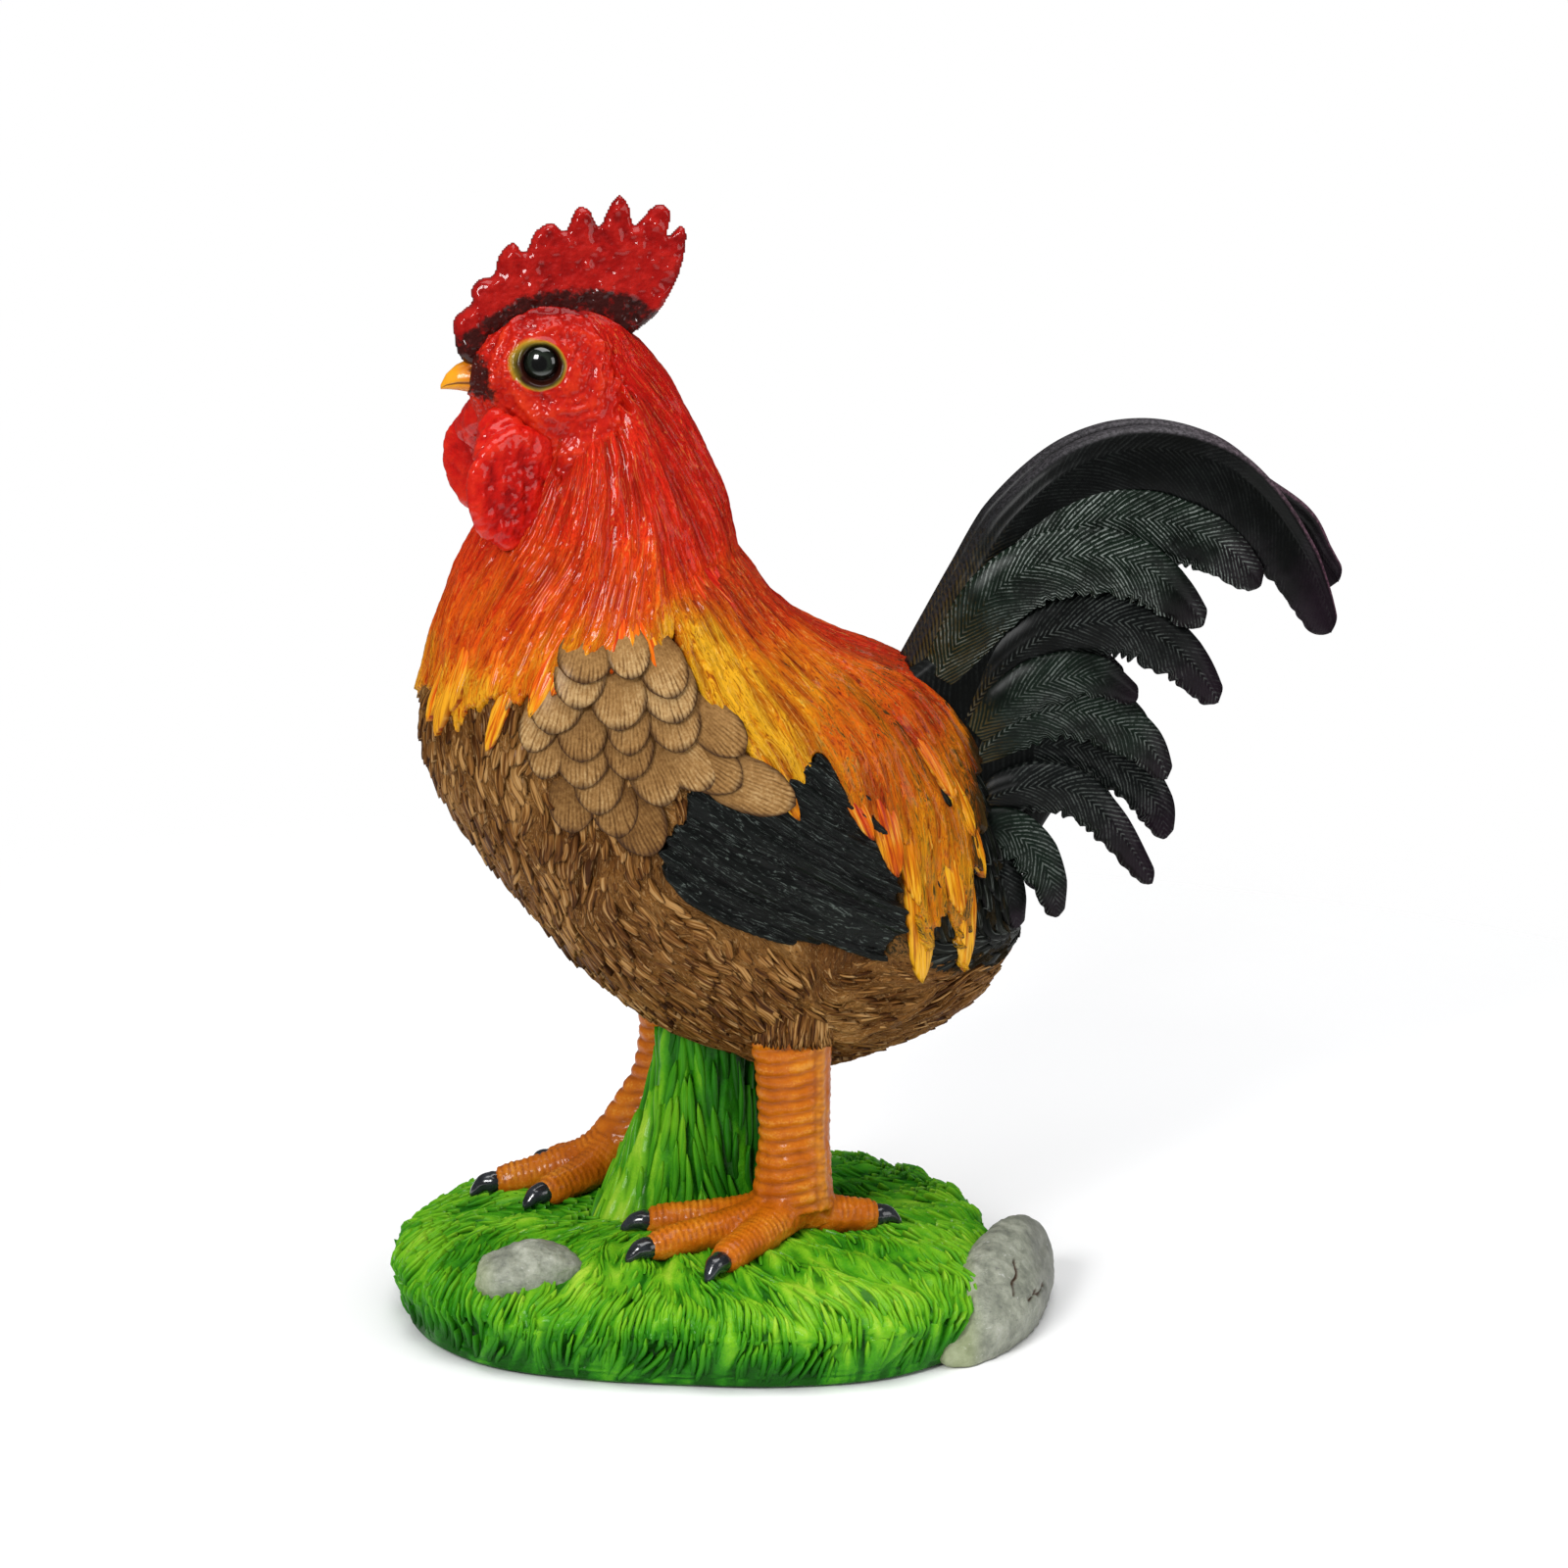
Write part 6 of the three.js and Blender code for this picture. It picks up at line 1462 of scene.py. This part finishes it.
comb_red = flesh_paint("red_comb", (0.2, (0.16, 0.001, 0.001)), (0.5, (0.31, 0.003, 0.002)), (0.9, (0.44, 0.012, 0.007)))
wattle_red = flesh_paint("red_wattle", (0.2, (0.24, 0.001, 0.001)), (0.5, (0.52, 0.006, 0.003)), (0.9, (0.66, 0.025, 0.008)))
piece("comb_plate", comb_points, comb_faces, comb_red, "comb", marks=comb_marks)

for side_name, side, forward in (("left", -1, 0), ("right", 1, 2)):
    bodies = []
    for at, half, yaw in (((-63, 24, 300), (19.5, 6, 21), -0.52), ((-66, 18, 312), (12, 5.6, 12), -0.46), ((-68, 13, 317), (8, 4.8, 9), -0.4)):
        angle = np.linspace(0, 2 * np.pi, 60, endpoint=False)
        tilt = np.linspace(0.03, np.pi - 0.03, 40)[:, None]
        ball = np.stack([np.sin(tilt) * np.cos(angle), np.sin(tilt) * np.sin(angle), np.cos(tilt) + 0 * angle], axis=-1) * half
        c, s = np.cos(side * yaw), np.sin(side * yaw)
        turned = np.stack([ball[..., 0] * c - ball[..., 1] * s, ball[..., 0] * s + ball[..., 1] * c, ball[..., 2]], axis=-1)
        bodies.append(tube(turned + [at[0] - forward, side * at[1], at[2]]))
    points, normal, quads = blended(side_name + "_wattle", bodies, 0.8, 6)
    gap = (points - [-63 - forward, side * 24, 300]) / [18.5, 30, 20.5]
    radius = np.linalg.norm(gap[:, [0, 2]], axis=1)
    dish = -1.7 * ease(0.86, 0.45, radius) + 0.9 * np.exp(-((radius - 0.93) / 0.07) ** 2)
    rough = lumps(points, (2.2, 2.2, 2.2), 133, 3)
    folds = lumps(points, (4, 4, 18), 134, 2)
    points = points + normal * (dish + 0.36 * rough + 0.6 * folds)[:, None]
    marks = np.zeros((len(points), 3))
    # Painted shade: the top of each wattle darkens where it tucks in under the throat.
    marks[:, 1] = 0.45 * ease(326, 334, points[:, 2])
    # Painted light: a painted highlight on the rolled rim and painted shade in the dished middle, besides the pebbles
    # and folds.
    marks[:, 2] = 0.5 + 0.28 * rough + 0.22 * folds + 0.16 * dish
    piece(side_name + "_wattle_lobe", points, quads, wattle_red, side_name + "_wattle", marks=marks)

# Tail.
# A thick core and a fan of separate curved feathers, ten to a side, each with its rachis and
# slanting barbs, a ragged lower edge and a blunt tip. Black with a green bloom, purple near
# the tips, and grey dry-brushing on the barbs and on the worn rim of the great sickles; the
# dry-brushing is heavier at mid-length, which is a painted highlight.
def tail_paint(name, bloom, barbs):
    """Black over carved barbs, which slant back from the rachis; barbs is how far they are dry-brushed."""
    paint = Paint(name, Coat_Weight=0.16, Coat_Roughness=0.28, Specular_IOR_Level=0.05)
    lie, (along, across, fate) = paint.vector("lie")
    marks, (worn, rim, s) = paint.vector("marks")
    where = paint.place()
    patch = paint.noise(where, 45, 4, 0.65)
    speck = paint.noise(where, 800, 3, 0.7)
    drift = (paint.noise(where, 30, 2, 0.5) - 0.5) * 0.006 + (paint.noise(where, 260, 2, 0.5) - 0.5) * 0.0009
    slant = along - across.maths("ABSOLUTE", across) * 1.5 + drift
    line = slant * (2 * np.pi / 0.0022)
    fibre = paint.node("CombineXYZ", {}, {"X": slant * 620, "Y": across * 70, "Z": fate})
    uneven = paint.noise(fibre, 1, 3, 0.6)
    barb = line.maths("SINE", line) * 0.28 + 0.5 + (uneven - 0.5) * 1.3
    base = paint.ramp(patch, (0.3, (0.0015, 0.002, 0.0015)), (0.55, bloom), (0.8, (0.006, 0.008, 0.007)))
    base = paint.mix((1 - (s + (speck - 0.5) * 0.25).step(0.06, 0.2)) * barb.step(0.3, 0.7) * 0.5, base, (0.09, 0.055, 0.008))
    base = paint.mix((s + (patch - 0.5) * 0.5).step(0.7, 0.95) * 0.6, base, (0.016, 0.007, 0.014))
    # Painted highlight: the lit mask makes the dry-brushing heavier at mid-length, where the feathers catch the light.
    lit = s.step(0.12, 0.4) - s.step(0.62, 0.92)
    dry = barb.step(0.48, 0.85) * (patch + worn * 0.4 + speck * 0.2 + lit * 0.16).step(0.55, 0.9) * speck.step(0.35, 0.55)
    base = paint.mix(dry * barbs, base, (0.3, 0.34, 0.31))
    worn_rim = paint.ramp(s, (0.2, (0.02, 0.02, 0.022)), (0.5, (0.1, 0.09, 0.1)), (0.85, (0.14, 0.06, 0.09)))
    base = paint.mix(rim.step(0.2, 0.9) * (speck.step(0.42, 0.62) * 0.6 + 0.35), base, worn_rim)
    relief = barb * (0.06 + barbs * 1.3) + speck * 0.35
    return paint.finish(Base_Color=base, Roughness=0.5 + speck * 0.2, Normal=paint.bump(relief, 0.0009, 1.0))


tail_barred = tail_paint("barred_tail", (0.006, 0.014, 0.008), 0.85)
tail_green = tail_paint("green_black_tail", (0.005, 0.012, 0.007), 0.38)
tail_black = tail_paint("black_tail", (0.003, 0.004, 0.004), 0.2)
great_black = tail_paint("great_black", (0.002, 0.0025, 0.0025), 0.03)
TAIL = [
    ("sickle_3", [[84, 226], [99, 249], [115, 262], [134, 266], [151, 262], [164, 253], [174, 243]], (12, 17, 17), 11.5, 6.5, tail_barred, 0.3),
    ("tail_feather_5", [[94, 178], [105, 183], [118, 186], [131, 183], [144, 171], [157, 152]], (11, 15, 19), 8.5, 6.5, tail_black, 0.2),
    ("tail_feather_6", [[94, 168], [104, 172], [114, 166], [121, 154], [124, 141]], (14, 18, 18), 8, 6.5, tail_green, 0.1),
    ("tail_feather_2", [[96, 206], [108, 217], [121, 224], [137, 225], [152, 217]], (12, 16, 15), 9, 6, tail_green, 0.1),
    ("tail_feather_1", [[90, 204], [104, 225], [122, 239], [143, 243], [159, 237], [171, 227], [180, 215]], (9, 13, 15), 11, 7, tail_black, 0.2),
    ("tail_feather_3", [[92, 191], [108, 206], [126, 212], [143, 208], [155, 200], [162, 189]], (9, 13, 17), 9.5, 7, tail_green, 0.2),
    ("tail_feather_7", [[92, 158], [101, 158], [107, 149], [111, 136]], (12, 15, 13), 7.5, 6, tail_black, 0.1),
    ("sickle_2", [[90, 229], [107, 257], [125, 272], [146, 277], [166, 274], [182, 267], [195, 255]], (8, 12, 12), 12.5, 6.5, tail_barred, 0.3),
    ("tail_feather_4", [[98, 186], [116, 198], [134, 198], [150, 189], [160, 177], [163, 166]], (6, 9, 12), 9, 6.5, tail_black, 0.1)]
GREAT = [[80, 226], [99, 256], [114, 277], [134, 293], [156, 298], [177, 293], [193, 281]]
GREAT_TIPS = {"left": [[206, 264], [214, 250], [220, 237]], "right": [[209, 271], [218, 260], [226, 251]]}


def tail_feather(name, side, spine, out, half, thick, paint, rachis, great=False):
    count, around = (210, 48) if great else (160, 40)
    place, tangent = curve([(x, 0, z) for x, z in spine], count)
    across = np.stack([-tangent[:, 2], np.zeros(count), tangent[:, 0]], axis=-1)
    s = np.linspace(0, 1, count)
    span = np.concatenate([[0], np.cumsum(np.linalg.norm(np.diff(place, axis=0), axis=1))])
    swell = np.interp(s, np.linspace(0, 1, 6), [0.7, 1.0, 1.08, 1.04, 0.8, 0.42])
    swell = swell * np.sqrt(np.clip(1 - ((s - 0.965) / 0.04).clip(0, 0.93) ** 2, 0, 1))
    body = thick / 2 * np.interp(s, np.linspace(0, 1, 5), [1, 1, 0.95, 0.9, 0.75])
    angle = np.linspace(0, 2 * np.pi, around, endpoint=False)
    cos, sin = np.cos(angle), np.sin(angle)
    wide = np.sign(cos) * np.abs(cos) ** 0.8
    deep = np.sign(sin) * np.abs(sin) ** 0.5
    clump = span / 6.0 + 1.1 * lumps(place, 13, 141 + len(name))
    tooth = clump - np.floor(clump)
    luck = hashed(np.stack(np.broadcast_arrays(np.floor(clump).astype(np.int64), 0, len(name)), axis=-1), 5)
    lower = ease(-0.2, -1, wide)
    bite = (0.05 + 0.2 * luck) * (0.5 - 0.5 * np.cos(2 * np.pi * tooth ** 0.8)) + 0.05 * lumps(place, 2.2, 151)
    ragged = (bite * ease(0.08, 0.35, s))[:, None] * lower * (0.5 if great else 1)
    reach = half * swell[:, None] * (1 - ragged)
    off = wide - rachis
    face = ease(0.1, 0.5, np.abs(sin))
    relief = face * (0.8 * np.exp(-(off / 0.06) ** 2) - 0.4 * np.exp(-((np.abs(off) - 0.13) / 0.05) ** 2))
    relief = relief - face * 0.08 * half * np.abs(off) + face * 0.25 * lumps(place[:, None] + np.zeros((1, around, 1)), 7, 145)
    away = np.interp(s, np.linspace(0, 1, len(out)), out)[:, None]
    hollow = 0.2 * half * wide ** 2
    depth = away + body[:, None] * deep + relief * deep - hollow * (0.35 if great else 1)
    rings = place[:, None] + across[:, None] * (reach * wide)[..., None]
    rings[..., 1] = side * depth
    points, faces = tube(rings)
    lie = np.zeros((len(points), 3))
    lie[:-2, 0] = np.repeat(span, around) * MM
    lie[:-2, 1] = (half * swell[:, None] * off).ravel() * MM
    marks = np.zeros((len(points), 3))
    rim = ease(0.8, 0.98, wide) * np.ones((count, 1)) if great else 0 * reach
    marks[:-2, 0] = (ease(-0.55, -0.95, wide) + np.exp(-(off / 0.05) ** 2) * face + 0 * reach).ravel()
    marks[:-2, 1] = rim.ravel()
    marks[:-2, 2] = np.repeat(s, around)
    piece(name + "_blade", points, faces, paint, name, lie, marks)


for name, spine, out, half, thick, paint, rachis in TAIL:
    for side_name, side in (("left", -1), ("right", 1)):
        tail_feather(f"{side_name}_{name}", side, spine, out, half, thick, paint, rachis)
for side_name, side in (("left", -1), ("right", 1)):
    tail_feather(side_name + "_great_sickle", side, GREAT + GREAT_TIPS[side_name], (6, 6.8, 8), 12.5, 11, great_black, 0.5, great=True)

WEB = [(62, 222), (80, 235), (93, 248), (112, 260), (134, 268), (154, 268), (160, 262), (148, 246), (146, 232), (138, 216), (134, 200), (130, 184), (120, 168), (112, 150), (106, 138), (88, 134)]
line, _ = curve([(x, 0, z) for x, z in WEB + WEB[:1]], 200)
middle = np.array([112, 0, 208.0])
rings = []
for shrink, wide in ((0.02, 1), (0.5, 1), (0.9, 0.98), (0.98, 0.8), (1.0, 0.4), (1.0, -0.4), (0.98, -0.8), (0.9, -0.98), (0.5, -1), (0.02, -1)):
    ring = middle + (line - middle) * shrink
    ring[:, 1] = wide * np.interp(ring[:, 0], [80, 160], [15, 4.5])
    rings.append(ring)
points, faces = tube(np.array(rings)[:, :-1])
web_marks = np.zeros((len(points), 3))
web_marks[:, 2] = 0.45
piece("tail_core", points, faces, great_black, "tail_web", points * MM, web_marks)

# Camera, floor and light.
# A pale seamless floor under soft studio light: a broad panel overhead, a key from the front
# left and a weak fill from the right.
camera = bpy.data.objects.new("camera", bpy.data.cameras.new("camera"))
bpy.context.scene.collection.objects.link(camera)
bpy.context.scene.camera = camera
turn, rise, far = np.radians(-8), np.radians(15), 2.2
aim = Vector((0.031, 0.0, 0.187))
back = Vector((np.sin(turn) * np.cos(rise), -np.cos(turn) * np.cos(rise), np.sin(rise)))
camera.location = aim + back * far
camera.rotation_euler = back.to_track_quat("Z", "Y").to_euler()
camera.data.sensor_width = 36
camera.data.lens = 36 * far / 0.544

floor = bpy.data.meshes.new("floor")
turn = np.linspace(0, 2 * np.pi, 96, endpoint=False)
floor.from_pydata([(0.75 * np.cos(a), 0.75 * np.sin(a), -0.0005) for a in turn], [], [range(96)])
floor_thing = bpy.data.objects.new("floor", floor)
bpy.context.scene.collection.objects.link(floor_thing)
paint = Paint("pale_floor", Roughness=0.8)
weave = paint.noise(paint.place(), 3, 2, 0.5)
fade = paint.node("TexGradient", {"gradient_type": "SPHERICAL"}, {"Vector": paint.place()})
floor.materials.append(paint.finish(Base_Color=paint.ramp(weave, (0.3, (0.93, 0.93, 0.93)), (0.7, (0.96, 0.96, 0.96))),
                                    Alpha=fade.step(0.3, 0.68)))

bpy.context.scene.view_settings.view_transform = "Standard"
world = bpy.data.worlds.new("studio")
bpy.context.scene.world = world
world.use_nodes = True
tree = world.node_tree
backdrop = tree.nodes["Background"]
backdrop.inputs["Color"].default_value = (1, 1, 1, 1)
backdrop.inputs["Strength"].default_value = 1.0
soft = tree.nodes.new("ShaderNodeBackground")
soft.inputs["Color"].default_value = (0.97, 0.98, 1, 1)
soft.inputs["Strength"].default_value = 0.5
flags = tree.nodes.new("ShaderNodeBackground")
flags.inputs["Strength"].default_value = 0.1
seen = tree.nodes.new("ShaderNodeLightPath")
mirrored_in = tree.nodes.new("ShaderNodeMixShader")
choice = tree.nodes.new("ShaderNodeMixShader")
tree.links.new(seen.outputs["Is Glossy Ray"], mirrored_in.inputs[0])
tree.links.new(soft.outputs[0], mirrored_in.inputs[1])
tree.links.new(flags.outputs[0], mirrored_in.inputs[2])
tree.links.new(seen.outputs["Is Camera Ray"], choice.inputs[0])
tree.links.new(mirrored_in.outputs[0], choice.inputs[1])
tree.links.new(backdrop.outputs[0], choice.inputs[2])
tree.links.new(choice.outputs[0], tree.nodes["World Output"].inputs["Surface"])


def lamp(name, at, size, watts):
    data = bpy.data.lights.new(name, "AREA")
    data.size = size
    data.energy = watts
    thing = bpy.data.objects.new(name, data)
    thing.location = at
    thing.rotation_euler = (Vector(at) - Vector((0.03, 0, 0.2))).to_track_quat("Z", "Y").to_euler()
    bpy.context.scene.collection.objects.link(thing)


lamp("overhead_panel", (0.1, -0.1, 1.9), 1.5, 25)
lamp("key_panel", (-1.1, -1.6, 1.3), 0.6, 27)
lamp("fill_panel", (1.6, -1.2, 0.7), 1.0, 7)
